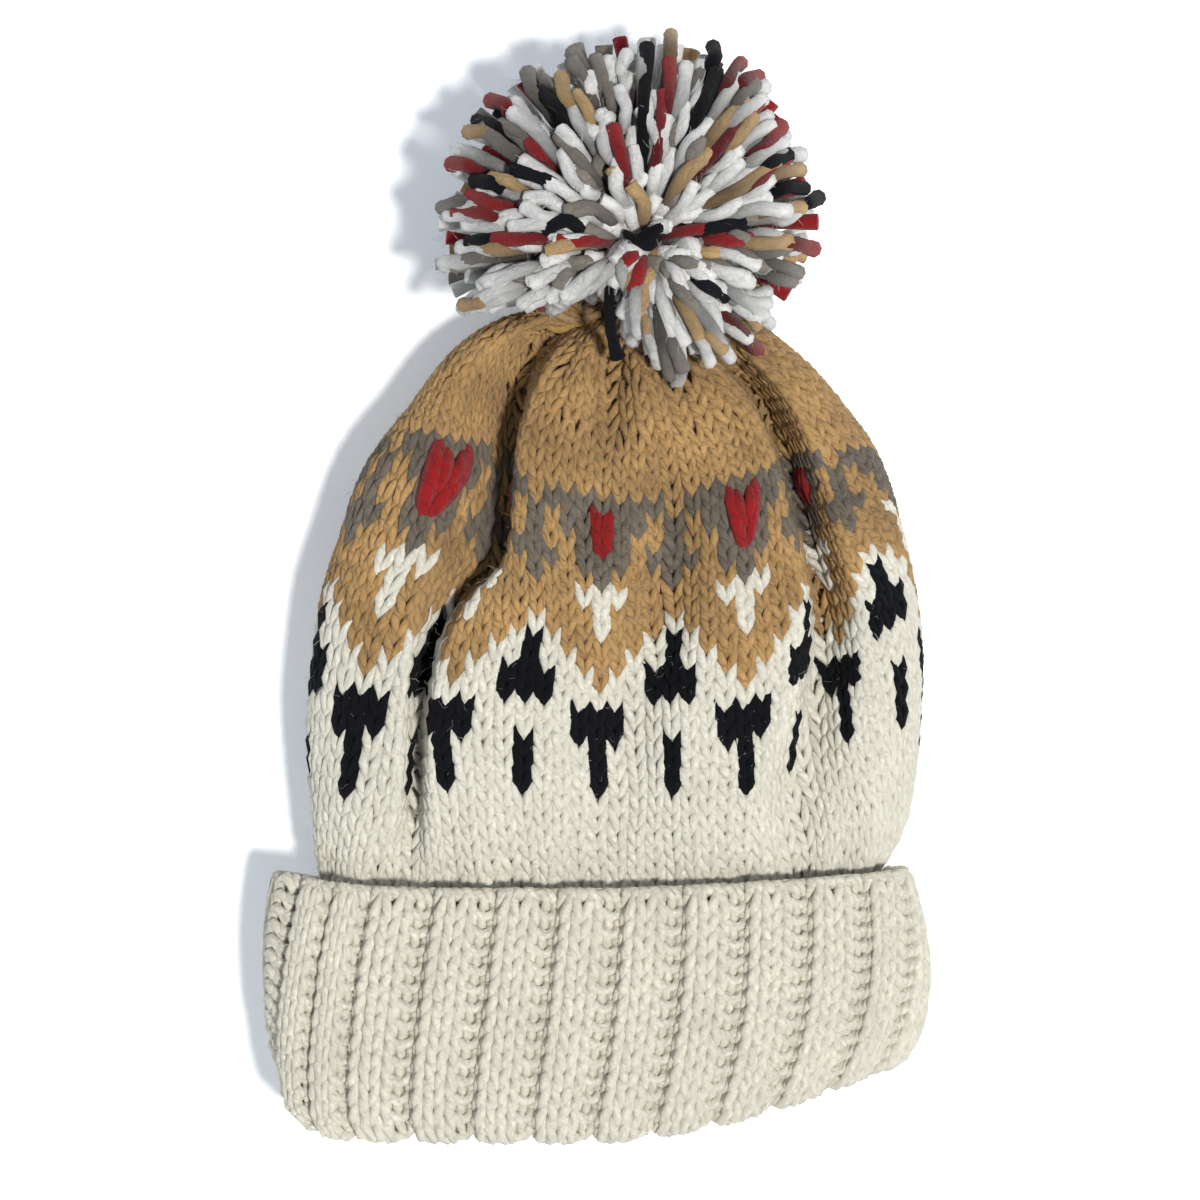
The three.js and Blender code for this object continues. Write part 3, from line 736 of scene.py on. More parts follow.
def plied_yarn_group():
    """Shader group of a plied yarn along a UV map: the grooves between its plies, with painted shade
    in them, the fibres that follow them, how the colour varies, and painted shade towards a cut
    strand's root. Puts out a colour and a height."""
    if "Plied Yarn" in bpy.data.node_groups:
        return bpy.data.node_groups["Plied Yarn"]
    group = bpy.data.node_groups.new("Plied Yarn", "ShaderNodeTree")
    face = group.interface
    for label, kind, value in (
        ("Color", "NodeSocketColor", (0.8, 0.8, 0.8, 1)),
        ("Groove Color", "NodeSocketColor", (0.4, 0.4, 0.4, 1)),
        ("Plies", "NodeSocketFloat", 3.0),
        ("Pitch", "NodeSocketFloat", 0.011),
        ("Groove", "NodeSocketFloat", 0.5),
        ("Fleck", "NodeSocketFloat", 0.15),
        ("Root", "NodeSocketFloat", 1.0),
    ):
        socket = face.new_socket(label, in_out="INPUT", socket_type=kind)
        socket.default_value = value
    face.new_socket("Color", in_out="OUTPUT", socket_type="NodeSocketColor")
    face.new_socket("Height", in_out="OUTPUT", socket_type="NodeSocketFloat")
    start = group.nodes.new("NodeGroupInput")
    end = group.nodes.new("NodeGroupOutput")
    uv = group.nodes.new("ShaderNodeUVMap")
    uv.uv_map = "UVMap"
    split = linked(group, "ShaderNodeSeparateXYZ", uv.outputs[0])
    place = group.nodes.new("ShaderNodeTexCoord")

    def value(operation, *inputs):
        return linked(group, "ShaderNodeMath", *inputs, operation=operation).outputs[0]

    def noise(source, scale, detail, roughness=0.5, dimensions="3D"):
        node = linked(group, "ShaderNodeTexNoise", noise_dimensions=dimensions)
        looks = {"Vector": source, "Scale": scale, "Detail": detail, "Roughness": roughness}
        return feed(group, node, looks).outputs[0]

    # plies wind round the yarn, so their grooves are slanted lines on its UV map
    wander = value("MULTIPLY", noise(place.outputs["Object"], 260.0, 2.0), 0.75)
    turns = value("DIVIDE", split.outputs[1], start.outputs["Pitch"])
    phase = value("ADD", value("ADD", split.outputs[0], turns), wander)
    saw = value("FRACT", value("MULTIPLY", phase, start.outputs["Plies"]))
    across = value("MULTIPLY", value("ABSOLUTE", value("SUBTRACT", saw, 0.5)), 2.0)
    ply = value("SQRT", value("SUBTRACT", 1.02, value("POWER", across, 2.0)))
    # fibres run along the plies, so they are noise that is stretched along them
    fibre_place = linked(
        group,
        "ShaderNodeCombineXYZ",
        value("MULTIPLY", phase, 30.0),
        value("MULTIPLY", split.outputs[1], 300.0),
        0.0,
    )
    fibres = noise(fibre_place.outputs[0], 1.0, 4.0, 0.7, "2D")
    fuzz = noise(place.outputs["Object"], 1500.0, 3.0)
    broad = noise(place.outputs["Object"], 55.0, 3.0)
    height = value("MULTIPLY", ply, start.outputs["Groove"])
    height = value("ADD", height, value("MULTIPLY", fibres, 0.7))
    height = value("ADD", height, value("MULTIPLY", fuzz, 0.5))
    # painted shade: the grooves between the plies take the groove colour, the plies' crowns the yarn's
    # own
    lit = linked(group, "ShaderNodeMapRange", ply, 0.1, 0.95, 0.0, 1.0)
    lit.interpolation_type = "SMOOTHSTEP"
    mixed = linked(group, "ShaderNodeMix", data_type="RGBA")
    colors = [socket for socket in mixed.inputs if socket.type == "RGBA"]
    group.links.new(lit.outputs[0], mixed.inputs[0])
    group.links.new(start.outputs["Groove Color"], colors[0])
    group.links.new(start.outputs["Color"], colors[1])
    fleck = value("MULTIPLY", value("SUBTRACT", fibres, 0.5), start.outputs["Fleck"])
    tone = value("MULTIPLY", value("SUBTRACT", broad, 0.5), start.outputs["Fleck"])
    shade = value("ADD", value("ADD", 1.0, fleck), value("MULTIPLY", tone, 1.4))
    # a cut strand's distance along is below zero, and shade is painted on it towards its root, where it
    # lies deep among the other strands
    root = linked(
        group, "ShaderNodeMapRange", split.outputs[1], -0.022, -0.003, start.outputs["Root"], 1.0
    )
    shade = value("MULTIPLY", shade, root.outputs[0])
    shown = next(socket for socket in mixed.outputs if socket.type == "RGBA")
    toned = linked(group, "ShaderNodeVectorMath", shown, operation="SCALE")
    feed(group, toned, {"Scale": shade})
    feed(group, end, {"Color": toned.outputs[0], "Height": height})
    return group


# The yarns: plies, pitch of the twist in metres, depth of the grooves, how much the tone varies,
# how much of the colour the painted shade in the grooves keeps and how much of it the painted
# shade at a cut strand's root keeps.
YARN_LOOKS = {
    "white": (2, 0.010, 0.35, 0.16, 0.90, 1.0),
    "cream": (2, 0.010, 0.32, 0.16, 0.92, 1.0),
    "black": (2, 0.010, 0.4, 0.6, 0.7, 1.0),
    "tan": (2, 0.010, 0.6, 0.9, 0.6, 1.0),
    "grey": (2, 0.010, 0.6, 0.9, 0.62, 1.0),
    "red": (2, 0.012, 0.5, 0.5, 0.62, 1.0),
    "cut white": (3, 0.05, 0.3, 0.25, 0.92, 0.25),
    "cut grey": (3, 0.05, 0.35, 0.5, 0.85, 0.25),
    "cut tan": (3, 0.05, 0.35, 0.5, 0.85, 0.3),
    "cut red": (3, 0.05, 0.35, 0.6, 0.8, 0.3),
    "cut black": (3, 0.05, 0.35, 0.8, 0.7, 0.5),
}


def blank_material(label):
    """A new material, its node tree and its shader."""
    material = bpy.data.materials.new(label)
    material.use_nodes = True
    return material, material.node_tree, material.node_tree.nodes["Principled BSDF"]


def bumped(tree, height, strength, distance):
    """The surface's normal with a bump, as a socket."""
    bump = tree.nodes.new("ShaderNodeBump")
    looks = {"Strength": strength, "Distance": distance, "Height": height}
    return feed(tree, bump, looks).outputs[0]


def yarn_material(name):
    """Brushed plied yarn in one colour."""
    label = f"{name} yarn"
    if label in bpy.data.materials:
        return bpy.data.materials[label]
    plies, pitch, groove, fleck, groove_shade, root = YARN_LOOKS[name]
    color = linear(getattr(props(), name.replace(" ", "_")))
    material, tree, shader = blank_material(label)
    group = tree.nodes.new("ShaderNodeGroup")
    group.node_tree = plied_yarn_group()
    looks = {
        "Color": (*color, 1),
        # the groove colour is the yarn's own colour in painted shade
        "Groove Color": (*(c * groove_shade for c in color), 1),
        "Plies": plies,
        "Pitch": pitch,
        "Groove": groove,
        "Fleck": fleck,
        "Root": root,
    }
    feed(tree, group, looks)
    black = "black" in name
    finish = {
        "Normal": bumped(tree, group.outputs["Height"], 0.9, 0.0007),
        "Base Color": group.outputs["Color"],
        "Roughness": 0.8,
        "Specular IOR Level": 0.12 if black else 0.22,
        "Sheen Weight": 0.02 if black else 0.12,
        "Sheen Roughness": 0.5,
    }
    feed(tree, shader, finish)
    return material


def fibre_material():
    """Single hairs, in the colours that their own attribute holds."""
    label = "loose fibres"
    if label in bpy.data.materials:
        return bpy.data.materials[label]
    material, tree, shader = blank_material(label)
    color = linked(tree, "ShaderNodeAttribute", attribute_name="yarn").outputs["Color"]
    feed(tree, shader, {"Base Color": color, "Roughness": 0.7, "Sheen Weight": 0.2})
    return material


def lining_material():
    """The knit's shaded back, in the yarn colours that its own attribute holds."""
    label = "knit back"
    if label in bpy.data.materials:
        return bpy.data.materials[label]
    material, tree, shader = blank_material(label)
    color = linked(tree, "ShaderNodeAttribute", attribute_name="yarn").outputs["Color"]
    place = tree.nodes.new("ShaderNodeTexCoord").outputs["Object"]
    fuzz = tree.nodes.new("ShaderNodeTexNoise")
    feed(tree, fuzz, {"Vector": place, "Scale": 900.0, "Detail": 4.0})
    tone = linked(tree, "ShaderNodeMapRange", fuzz.outputs[0], 0.3, 0.7, 0.75, 1.1)
    toned = linked(tree, "ShaderNodeVectorMath", color, operation="SCALE")
    feed(tree, toned, {"Scale": tone.outputs[0]})
    finish = {
        "Normal": bumped(tree, fuzz.outputs[0], 0.5, 0.0006),
        "Base Color": toned.outputs[0],
        "Roughness": 0.95,
        "Specular IOR Level": 0.1,
    }
    feed(tree, shader, finish)
    return material


def yarn_colors():
    """The body's yarn colours in linear light, by letter."""
    return {letter: linear(getattr(props(), name)) for letter, name in YARN_NAMES.items()}


def pattern_letter(column, row):
    """The yarn of a stitch: white below the pattern's rows and tan above them."""
    if row > max(PATTERN_ROWS):
        return "t"
    if row < min(PATTERN_ROWS):
        return "w"
    return PATTERN_ROWS[row][column % len(PATTERN_ROWS[row])]


def letter_at(column, row):
    """The yarn of the stitch that covers a place on the cloth."""
    return pattern_letter(int(math.floor(column + 0.5)) % BODY_STITCHES, int(math.floor(row - 0.3)))


def runs_of_row(row, stitches):
    """The row's stitches as runs of one colour: letter, first column and how many."""
    letters = [pattern_letter(c, row) for c in range(stitches)]
    if len(set(letters)) == 1:
        return [(letters[0], 0, stitches)]
    start = next(c for c in range(stitches) if letters[c] != letters[c - 1])
    runs = []
    for c in range(start, start + stitches):
        letter = letters[c % stitches]
        if runs and runs[-1][0] == letter:
            runs[-1][2] += 1
        else:
            runs.append([letter, c, 1])
    return runs


def lining_piece(name, mesh):
    """Makes a smooth piece in the material of the knit's back."""
    mesh.materials.append(lining_material())
    mesh.polygons.foreach_set("use_smooth", [True] * len(mesh.polygons))
    return made_piece(name, mesh)


def tube_shell(name, outer, inner, colors):
    """A closed wall between two grids of points that each wrap round. They have the same columns and
    are joined at both rims."""
    points = np.concatenate([outer, inner[::-1]])
    count, around = points.shape[:2]
    index = np.arange(count * around).reshape(count, around)
    below = np.roll(index, -1, axis=0)
    faces = np.stack([index, np.roll(index, -1, 1), np.roll(below, -1, 1), below], axis=-1)
    mesh = bpy.data.meshes.new(name)
    mesh.from_pydata((points.reshape(-1, 3) * MM).tolist(), [], faces.reshape(-1, 4).tolist())
    rgba = np.ones((count, around, 4))
    rgba[..., :3] = np.concatenate([colors[0], colors[1][::-1]])
    color_points(mesh, rgba)
    builder = bmesh.new()
    builder.from_mesh(mesh)
    bmesh.ops.recalc_face_normals(builder, faces=builder.faces)
    builder.to_mesh(mesh)
    builder.free()
    return lining_piece(name, mesh)


def millimetres(name, description, default):
    return FloatProperty(name=name, description=f"{description}, millimetres", default=default)


def yarn_color(name, description, default):
    return FloatVectorProperty(name=name, description=description, subtype="COLOR", default=default)


class KnitToqueProperties(bpy.types.PropertyGroup):
    yarn_radius: millimetres("Yarn Radius", "Body yarn", 1.8)
    rib_yarn_radius: millimetres("Rib Yarn Radius", "Cuff yarn", 2.0)
    row_height: millimetres("Row Height", "Body rows", 5.3)
    rib_row_height: millimetres("Rib Row Height", "Cuff rows", 5.45)
    leg_lean: FloatProperty(
        name="Leg Lean", description="How far a stitch's legs spread, columns", default=0.31
    )
    strand_radius: millimetres("Strand Radius", "Cut pompom yarn", 2.2)
    strands: IntProperty(
        name="Strands", description="Plain strands in the pompom's upper half", default=250
    )
    white: yarn_color("White", "Body's white yarn", (0.875, 0.86, 0.80))
    cream: yarn_color("Cream", "Cuff's yarn", (0.87, 0.85, 0.785))
    tan: yarn_color("Tan", "Body's tan yarn", (0.69, 0.545, 0.345))
    grey: yarn_color("Grey", "Body's grey-brown yarn", (0.43, 0.39, 0.34))
    red: yarn_color("Red", "Hearts' yarn", (0.56, 0.05, 0.06))
    black: yarn_color("Black", "Figures' yarn", (0.045, 0.05, 0.07))
    cut_white: yarn_color("Cut White", "Pompom's white yarn", (0.86, 0.855, 0.845))
    cut_grey: yarn_color("Cut Grey", "Pompom's grey yarn", (0.48, 0.455, 0.42))
    cut_tan: yarn_color("Cut Tan", "Pompom's tan yarn", (0.68, 0.56, 0.39))
    cut_red: yarn_color("Cut Red", "Pompom's red yarn", (0.53, 0.055, 0.075))
    cut_black: yarn_color("Cut Black", "Pompom's black yarn", (0.06, 0.065, 0.085))


def smooth_noise(rng, count, size, spread=7):
    """Gentle random wander along a strand."""
    steps = rng.normal(0, size, count + spread)
    return np.convolve(steps, np.ones(spread) / math.sqrt(spread), "valid")[:count]


class TOQUE_OT_crown(bpy.types.Operator):
    """Knits the crown's stitches, one piece for each colour of yarn"""

    bl_idname = "toque.crown"
    bl_label = "Crown Stitches"

    # The columns that show from above, and how many points their stitches and the others have.
    SHOWN_COLUMNS = (-26, 30)
    SHOWN_STEPS = 11
    HIDDEN_STEPS = 7
    # How far a stitch swings along the rows, in rows, and in and out of the cloth, in millimetres.
    ROW_SWING = 1.12
    DEPTH_SWING = 1.4
    # How full the yarn is: the tan lies a little thinner.
    FULLNESS = 0.96
    TAN_FULLNESS = 0.88
    # How thick the yarn is where a colour starts and ends.
    END_SHARES = (0.02, 0.7, 0.95)
    # The wall's two faces: points a row, depth, height of the bumps and how bright.
    # The first face shows in the gaps between the stitches and is painted in their shade.
    BACKS = ((1, -3.9, 0.0, 0.4), (3, -5.9, 0.9, 0.85))
    BACK_POINTS = 3
    HAIRS = 2200

    def execute(self, context):
        fabric = crown_fabric()
        top_row = int(fabric.row_places[-1])
        rng = np.random.default_rng(11)
        yarns = {letter: Yarn() for letter in YARN_NAMES}
        for row in range(LOWEST_ROW, top_row + 1):
            stitches = next(n for start, n in reversed(DECREASES) if row >= start)
            for run in runs_of_row(row, stitches):
                self.knit(fabric, yarns[run[0]], row, stitches, run, rng)
        self.hearts(fabric, yarns["r"], rng)
        for letter, yarn in yarns.items():
            color = YARN_NAMES[letter]
            nodes = ["crown"] if letter == "t" else []
            name = f"crown_{color}_stitches"
            strand_piece(name, yarn, 6, yarn_material(color), f"{color}_yarn", *nodes)
        self.line(fabric, top_row)
        self.fuzz(fabric, top_row, rng)
        return {"FINISHED"}

    def steps_at(self, column):
        start, end = self.SHOWN_COLUMNS
        return self.SHOWN_STEPS if (column - start) % BODY_STITCHES < end - start else self.HIDDEN_STEPS

    def knit(self, fabric, yarn, row, stitches, run, rng):
        """Knits a run of one colour, each stitch up through the one below and back down."""
        p = props()
        letter, first, count = run
        wide = BODY_STITCHES / stitches
        columns = range(first, first + count)
        t = [c + np.arange(n) / n for c, n in zip(columns, (self.steps_at(c * wide) for c in columns))]
        t = np.concatenate(t + [[first + count]])
        phase = (t - first) * 2 * math.pi
        # rows and columns wander a little, as hand-knitting does
        column = t - 0.5 + p.leg_lean * np.sin(2 * phase) + smooth_noise(rng, len(t), 0.018)
        column = column * wide + 0.09 * np.sin(0.9 * row + 1.3 * np.sin(0.8 * wide * t))
        height = row + 0.9 - self.ROW_SWING * np.cos(phase) + smooth_noise(rng, len(t), 0.04)
        height = height + 0.10 * np.sin(1.1 * wide * t + 0.7 * row)
        _, _, width = fabric.at(height, column)
        # the yarn is pinched where a stitch passes through the one below
        plump = 0.66 + 0.34 * np.sin(phase) ** 2
        full = self.TAN_FULLNESS if letter == "t" else self.FULLNESS
        radius = np.minimum(p.yarn_radius, width * wide * 0.30) * plump * full
        radius = radius * (1 + smooth_noise(rng, len(t), 0.035))
        depth = -self.DEPTH_SWING * p.yarn_radius * 0.62 - self.DEPTH_SWING * (1 + np.cos(2 * phase))
        ends = np.ones(len(t))
        if count < stitches:
            for i, share in enumerate(self.END_SHARES):
                ends[i] = ends[-1 - i] = share
            depth[[0, -1]] -= 1.0
        points, _ = fabric.place(height, column, depth)
        yarn.add(points, radius * ends)

    def hearts(self, fabric, yarn, rng):
        """The red stitches that are worked over the pattern, in thick yarn."""
        t = np.linspace(0, 1, 15)
        swell = np.sin(math.pi * t)
        for c, sunk, share in HEARTS:
            for base, tip, spread, thick, out in HEART_LOOPS:
                for side in (-1, 1):
                    wide = np.interp(t, (0, 0.35, 0.7, 1), (0.14, 0.6, 1.0, 1.16))
                    column = c + side * spread * share * wide + smooth_noise(rng, 15, 0.02)
                    height = base + (tip - base) * t
                    lift = out - sunk - 2.8 + 2.9 * np.sqrt(swell)
                    points, width = fabric.place(height, column, lift)
                    full = max(share, 1.0)
                    radius = np.minimum(thick, 0.40 * width) * full * (0.5 + 0.5 * np.sqrt(swell))
                    yarn.add(points, radius)

    def fuzz(self, fabric, top_row, rng):
        """Hairs that stand off the stitches."""
        yarn = Yarn()
        colors = yarn_colors()
        # the black yarn's hairs are painted lighter, as the grey highlight that they catch
        colors["k"] = [0.25 + 0.5 * v for v in colors["k"]]
        start, end = self.SHOWN_COLUMNS
        row = rng.uniform(LOWEST_ROW + 1, top_row - 1, self.HAIRS)
        column = rng.uniform(start + 1, end - 1, self.HAIRS)
        points, normals, _ = fabric.at(row, column)
        for r, c, place, up in zip(row, column, points, normals):
            way = unit(up * 0.5 + rng.normal(0, 0.8, 3))
            color = colors[letter_at(c, r)]
            loose_fibre(yarn, place - up * 0.5, way, rng.uniform(1.0, 3.0), color, rng)
        fibre_piece("crown_loose_fibres", yarn, "tan_yarn")

    def line(self, fabric, top_row):
        """The stitches' backs, which close the wall behind the strands and show inside the hat."""
        colors = {letter: np.array(color) for letter, color in yarn_colors().items()}
        columns = np.arange(BODY_STITCHES * self.BACK_POINTS) / self.BACK_POINTS
        grids = []
        shades = []
        for per_row, deep, bumps, bright in self.BACKS:
            rows = np.arange((LOWEST_ROW - 0.5) * per_row, (top_row + 1.2) * per_row) / per_row
            row, column = np.meshgrid(rows, columns, indexing="ij")
            bump = bumps * np.cos(2 * math.pi * (row + 0.25 * (np.cos(4 * math.pi * column) > 0)))
            grids.append(fabric.place(row, column, deep - bump)[0])
            # each face takes its stitches' colour, the first one in painted shade
            shades.append(np.array([[colors[letter_at(c, r)] * bright for c in columns] for r in rows]))
        dressed(tube_shell("crown_knit_back", *grids, shades), "tan_yarn")


class TOQUE_OT_cuff(bpy.types.Operator):
    """Knits the turned-up cuff in two by two ribbing"""

    bl_idname = "toque.cuff"
    bl_label = "Cuff Ribbing"

    # How far each place of a rib stands out from the cloth's middle, over its four stitches.
    RIB_RISE = ((0, 0.5, 1.0, 1.5, 2.5, 3.0, 3.5, 4.0), (-2.8, -1.8, 0.6, 1.3, 1.3, 0.9, -0.3, -2.8))
    # The rows of the outer face, and the columns underneath, which need few points.
    OUTER_ROWS = 17
    UNDER_COLUMNS = (48, 86)
    SHOWN_STEPS = 10
    HIDDEN_STEPS = 6
    HAIRS = 1500

    def execute(self, context):
        fabric = cuff_fabric()
        rng = np.random.default_rng(5)
        rows = int(fabric.row_places[-1])
        outer, inner = Yarn(), Yarn()
        for row in range(self.OUTER_ROWS):
            self.knit(fabric, outer, row, self.SHOWN_STEPS, rng)
        self.edge(fabric, outer, rng)
        for row in range(self.OUTER_ROWS, rows):
            self.knit(fabric, inner, row, self.HIDDEN_STEPS, rng)
        strand_piece("cuff_ribbing", outer, 6, yarn_material("cream"), "cream_yarn", "cuff")
        strand_piece("cuff_inner_ribbing", inner, 6, yarn_material("cream"), "cream_yarn")
        self.line(fabric, rows)
        self.fuzz(fabric, rng)
        return {"FINISHED"}

    def knit(self, fabric, yarn, row, steps, rng):
        """Knits one row of ribbing. It was knitted from its edge, which is now on top, so its
        stitches point down."""
        p = props()
        start, end = self.UNDER_COLUMNS
        counts = [steps if c < start or c > end else self.HIDDEN_STEPS for c in range(BODY_STITCHES)]
        t = np.concatenate([c + np.arange(n) / n for c, n in enumerate(counts)] + [[BODY_STITCHES]])
        phase = t * 2 * math.pi
        in_rib = np.floor(t).astype(int) % RIB_STITCHES
        sign = np.where((in_rib == 1) | (in_rib == 2), 1.0, -1.0)
        # one on the rib's raised stitches and nothing in the furrow
        knit = np.interp(t % RIB_STITCHES, (0, 0.75, 1.1, 2.9, 3.25, 4), (0, 0, 1, 1, 0, 0))
        column = t + (0.12 + 0.14 * knit) * np.sin(2 * phase) + smooth_noise(rng, len(t), 0.012)
        reach = 0.42 + 0.62 * knit
        height = row + 0.9 - reach * np.cos(phase) + smooth_noise(rng, len(t), 0.025)
        _, _, width = fabric.at(height, column)
        plump = 0.76 + 0.24 * np.sin(phase) ** 2
        radius = np.minimum(p.rib_yarn_radius * 1.25, np.maximum(width * 0.29, 1.6)) * plump
        radius = radius * (1.12 - 0.12 * knit)
        rise = np.interp(t % RIB_STITCHES, *self.RIB_RISE)
        depth = rise + RIB_WALL / 2 - radius - 0.9 - 1.25 * sign * np.cos(2 * phase)
        points, _ = fabric.place(height, column, depth)
        yarn.add(points, radius * (1 + smooth_noise(rng, len(t), 0.03)))

    def fuzz(self, fabric, rng):
        """Hairs that stand off the outer face."""
        yarn = Yarn()
        color = linear(props().cream)
        row = rng.uniform(0, self.OUTER_ROWS, self.HAIRS)
        column = rng.uniform(0, BODY_STITCHES / 2, self.HAIRS)
        points, normals, _ = fabric.at(row, column)
        for place, up in zip(points, normals):
            way = unit(up * 0.5 + rng.normal(0, 0.8, 3))
            loose_fibre(yarn, place + up * 4.2, way, rng.uniform(1.0, 3.0), color, rng)
        fibre_piece("cuff_loose_fibres", yarn, "cream_yarn")

    def edge(self, fabric, yarn, rng):
        """The yarn that the ribbing starts from, along its free edge."""
        t = np.arange(BODY_STITCHES * 5 + 1) / 5
        rise = np.interp(t % RIB_STITCHES, *self.RIB_RISE)
        for start in (0, math.pi):
            turn = 2 * math.pi * t + start
            place = 0.14 - 0.04 * rise + 0.26 * np.sin(turn) + smooth_noise(rng, len(t), 0.05)
            points, _ = fabric.place(place, t, 0.9 * rise + 0.2 + 1.7 * np.cos(turn))
            yarn.add(points, 1.75 * (1 + smooth_noise(rng, len(t), 0.06)))

    def line(self, fabric, rows):
        """The ribbing's backs, which close the cloth between its strands."""
        columns = np.arange(BODY_STITCHES * 2) / 2
        places = np.arange(0.3, rows + 0.8, 0.75)
        row, column = np.meshgrid(places, columns, indexing="ij")
        rise = np.interp(column % RIB_STITCHES, *self.RIB_RISE) * 0.6
        cream = np.array(linear(props().cream))
        # the backs are the cream in painted shade, as the gaps between the strands are
        shade = np.broadcast_to(cream * 0.78, (*row.shape, 3))
        faces = [fabric.place(row, column, rise - depth)[0] for depth in (0.6, 1.6)]
        dressed(tube_shell("cuff_knit_back", *faces, (shade, shade)), "cream_yarn")


# The pompom, in millimetres from the frame's origin. Its strands part at the tie.
PARTING = np.array([13.6, 105.0, 45.0])
DOME_HEIGHT = 41.0
PARTING_DIP = 14.0
CUT_YARNS = ("white", "grey", "tan", "red", "black")
# Turned by this from one to the next, any number of strands is spread evenly.
GOLDEN_ANGLE = math.pi * (3 - math.sqrt(5))
# How far the strands reach from the parting, at each direction in degrees.
REACH = (
    (-180, 65),
    (-160, 61),
    (-154, 55),
    (-149, 44),
    (-142, 34),
    (-134, 25),
    (-124, 19),
    (-109, 20),
    (-98, 31),
    (-86, 38),
    (-69, 46),
    (-44, 48),
    (-17, 48),
    (-8, 52),
    (1, 56),
    (24, 57),
    (40, 59),
    (54, 64),
    (70, 66),
    (104, 66.5),
    (126, 65),
    (140, 66),
    (153, 65),
    (173, 64),
    (180, 65),
)
# The coloured strands that show: yarn, direction in degrees, how far out the cut end is and how much
# of the strand lies bare.
SHOWN_STRANDS = (
    ("black", 88, 60, 42),
    ("red", 79, 56, 22),
    ("red", 82, 45, 26),
    ("tan", 81, 66, 10),
    ("black", 66.5, 57, 24),
    ("black", 69, 65, 6),
    ("red", 61, 65, 14),
    ("red", 56, 64, 8),
    ("grey", 54.5, 60, 12),
    ("red", 51, 56, 30),
    ("tan", 56, 53, 24),
    ("tan", 32, 47, 28),
    ("tan", 51.5, 33, 18),
    ("red", 38, 56, 14),
    ("black", 33, 52, 10),
    ("red", 28, 51, 24),
    ("black", 20, 53, 9),
    ("tan", 12.5, 50, 12),
    ("tan", 25, 54, 12),
    ("black", 14, 57, 6),
    ("red", -2, 53, 12),
    ("red", 1.5, 33, 12),
    ("red", 13.5, 25, 16),
    ("black", 10, 31, 20),
    ("grey", -23, 22, 14),
    ("grey", -13, 38, 14),
    ("grey", -9, 49, 12),
    ("black", -36, 31, 12),
    ("tan", -32, 43, 14),
    ("red", -42, 49, 16),
    ("grey", -56, 27, 12),
    ("grey", -71, 40, 12),
    ("red", -99, 15, 10),
    ("red", -128, 11, 8),
    ("tan", 101, 17, 10),
    ("red", 103, 35, 16),
    ("black", 124.5, 55, 14),
    ("red", 139, 47, 8),
    ("red", 137, 64, 8),
    ("black", 141, 63, 10),
    ("black", 150, 44, 16),
    ("red", 156.5, 63, 7),
    ("black", 159, 54, 8),
    ("red", 165.5, 54, 12),
    ("red", 172.5, 57, 14),
    ("red", 179, 44, 16),
    ("black", 178, 52, 8),
    ("tan", -176, 52, 14),
    ("black", 172.5, 29, 9),
    ("red", 180, 25, 14),
    ("tan", -177, 28, 8),
    ("tan", 157.5, 49, 7),
    ("tan", 116, 56, 12),
    ("tan", 145.5, 63, 8),
    ("grey", 110, 59, 14),
    ("grey", 125, 63, 10),
    ("grey", 138.5, 56, 14),
    ("grey", 128, 40, 14),
    ("grey", 155, 24, 12),
    ("grey", 169.5, 62, 10),
    ("grey", -173, 57, 12),
    ("tan", -161, 57, 6),
)
# The tie's knot, a turn round it and its loose end: the yarn's radius, a seed and the places that
# each runs through.
TIE_STRANDS = (
    (2.5, 1, ((21, 110, 73), (20, 109, 79), (15, 106, 82), (11, 102, 80.5), (8, 98, 77), (7.5, 96, 70))),
    (2.3, 2, ((9, 107.5, 78), (11.5, 104.5, 82.5), (15.5, 103.5, 81.5), (17.5, 106, 78))),
    (
        2.1,
        4,
        ((9, 100, 76), (5.6, 95, 77), (4, 88, 73), (4.2, 80, 67.5), (5.6, 74, 63.5), (6.8, 70.5, 61.5)),
    ),
)


def dome_height(share):
    """Height of the pompom's top above the parting's middle, by the share of the reach."""
    dome = DOME_HEIGHT * np.sqrt(np.clip(1 - np.clip(share, 0, 1) ** 2.2, 0, 1))
    return dome - PARTING_DIP * math.exp(-((share / 0.2) ** 2))


def reach_at(angle):
    degrees = (math.degrees(angle) + 180) % 360 - 180
    return float(np.interp(degrees, *zip(*REACH)))


def direction(angle):
    return np.array([math.cos(angle), math.sin(angle), 0])


def upper_strand(angle, out, bare, lift, curl, rng):
    """A cut strand of the pompom's upper half: up from the core, over, and out to its end."""
    reach = reach_at(angle)
    way = direction(angle)
    side = np.array([-way[1], way[0], 0])
    inner = max(out - bare, out * 0.12)
    bend, turn = rng.normal(0, curl, 2)
    places = (
        (0.05 * out, -12, 0),
        (inner * 0.45, dome_height(inner * 0.45 / reach) - 17, 0),
        (inner, dome_height(inner / reach) - 5, 0.2 * bend),
        ((inner + out) / 2, dome_height((inner + out) / 2 / reach) + 0.3 * abs(bend), bend),
        (out, dome_height(out / reach) - 1.0 - 2.0 * (out / reach) ** 4, turn),
    )
    points = np.array([PARTING + way * o + side * s + np.array([0, 0, h + lift]) for o, h, s in places])
    return curved(points, 6)


def curved(points, per_span=4):
    """A smooth line through points, by cubic spans."""
    points = np.array(points, float)
    ends = np.concatenate([[2 * points[0] - points[1]], points, [2 * points[-1] - points[-2]]])
    line = []
    for a, b, c, d in zip(ends, ends[1:], ends[2:], ends[3:]):
        for t in np.arange(per_span) / per_span:
            bend = (2 * a - 5 * b + 4 * c - d) * t**2 + (3 * b - a - 3 * c + d) * t**3
            line.append(0.5 * (2 * b + (c - a) * t + bend))
    line.append(points[-1])
    return np.array(line)


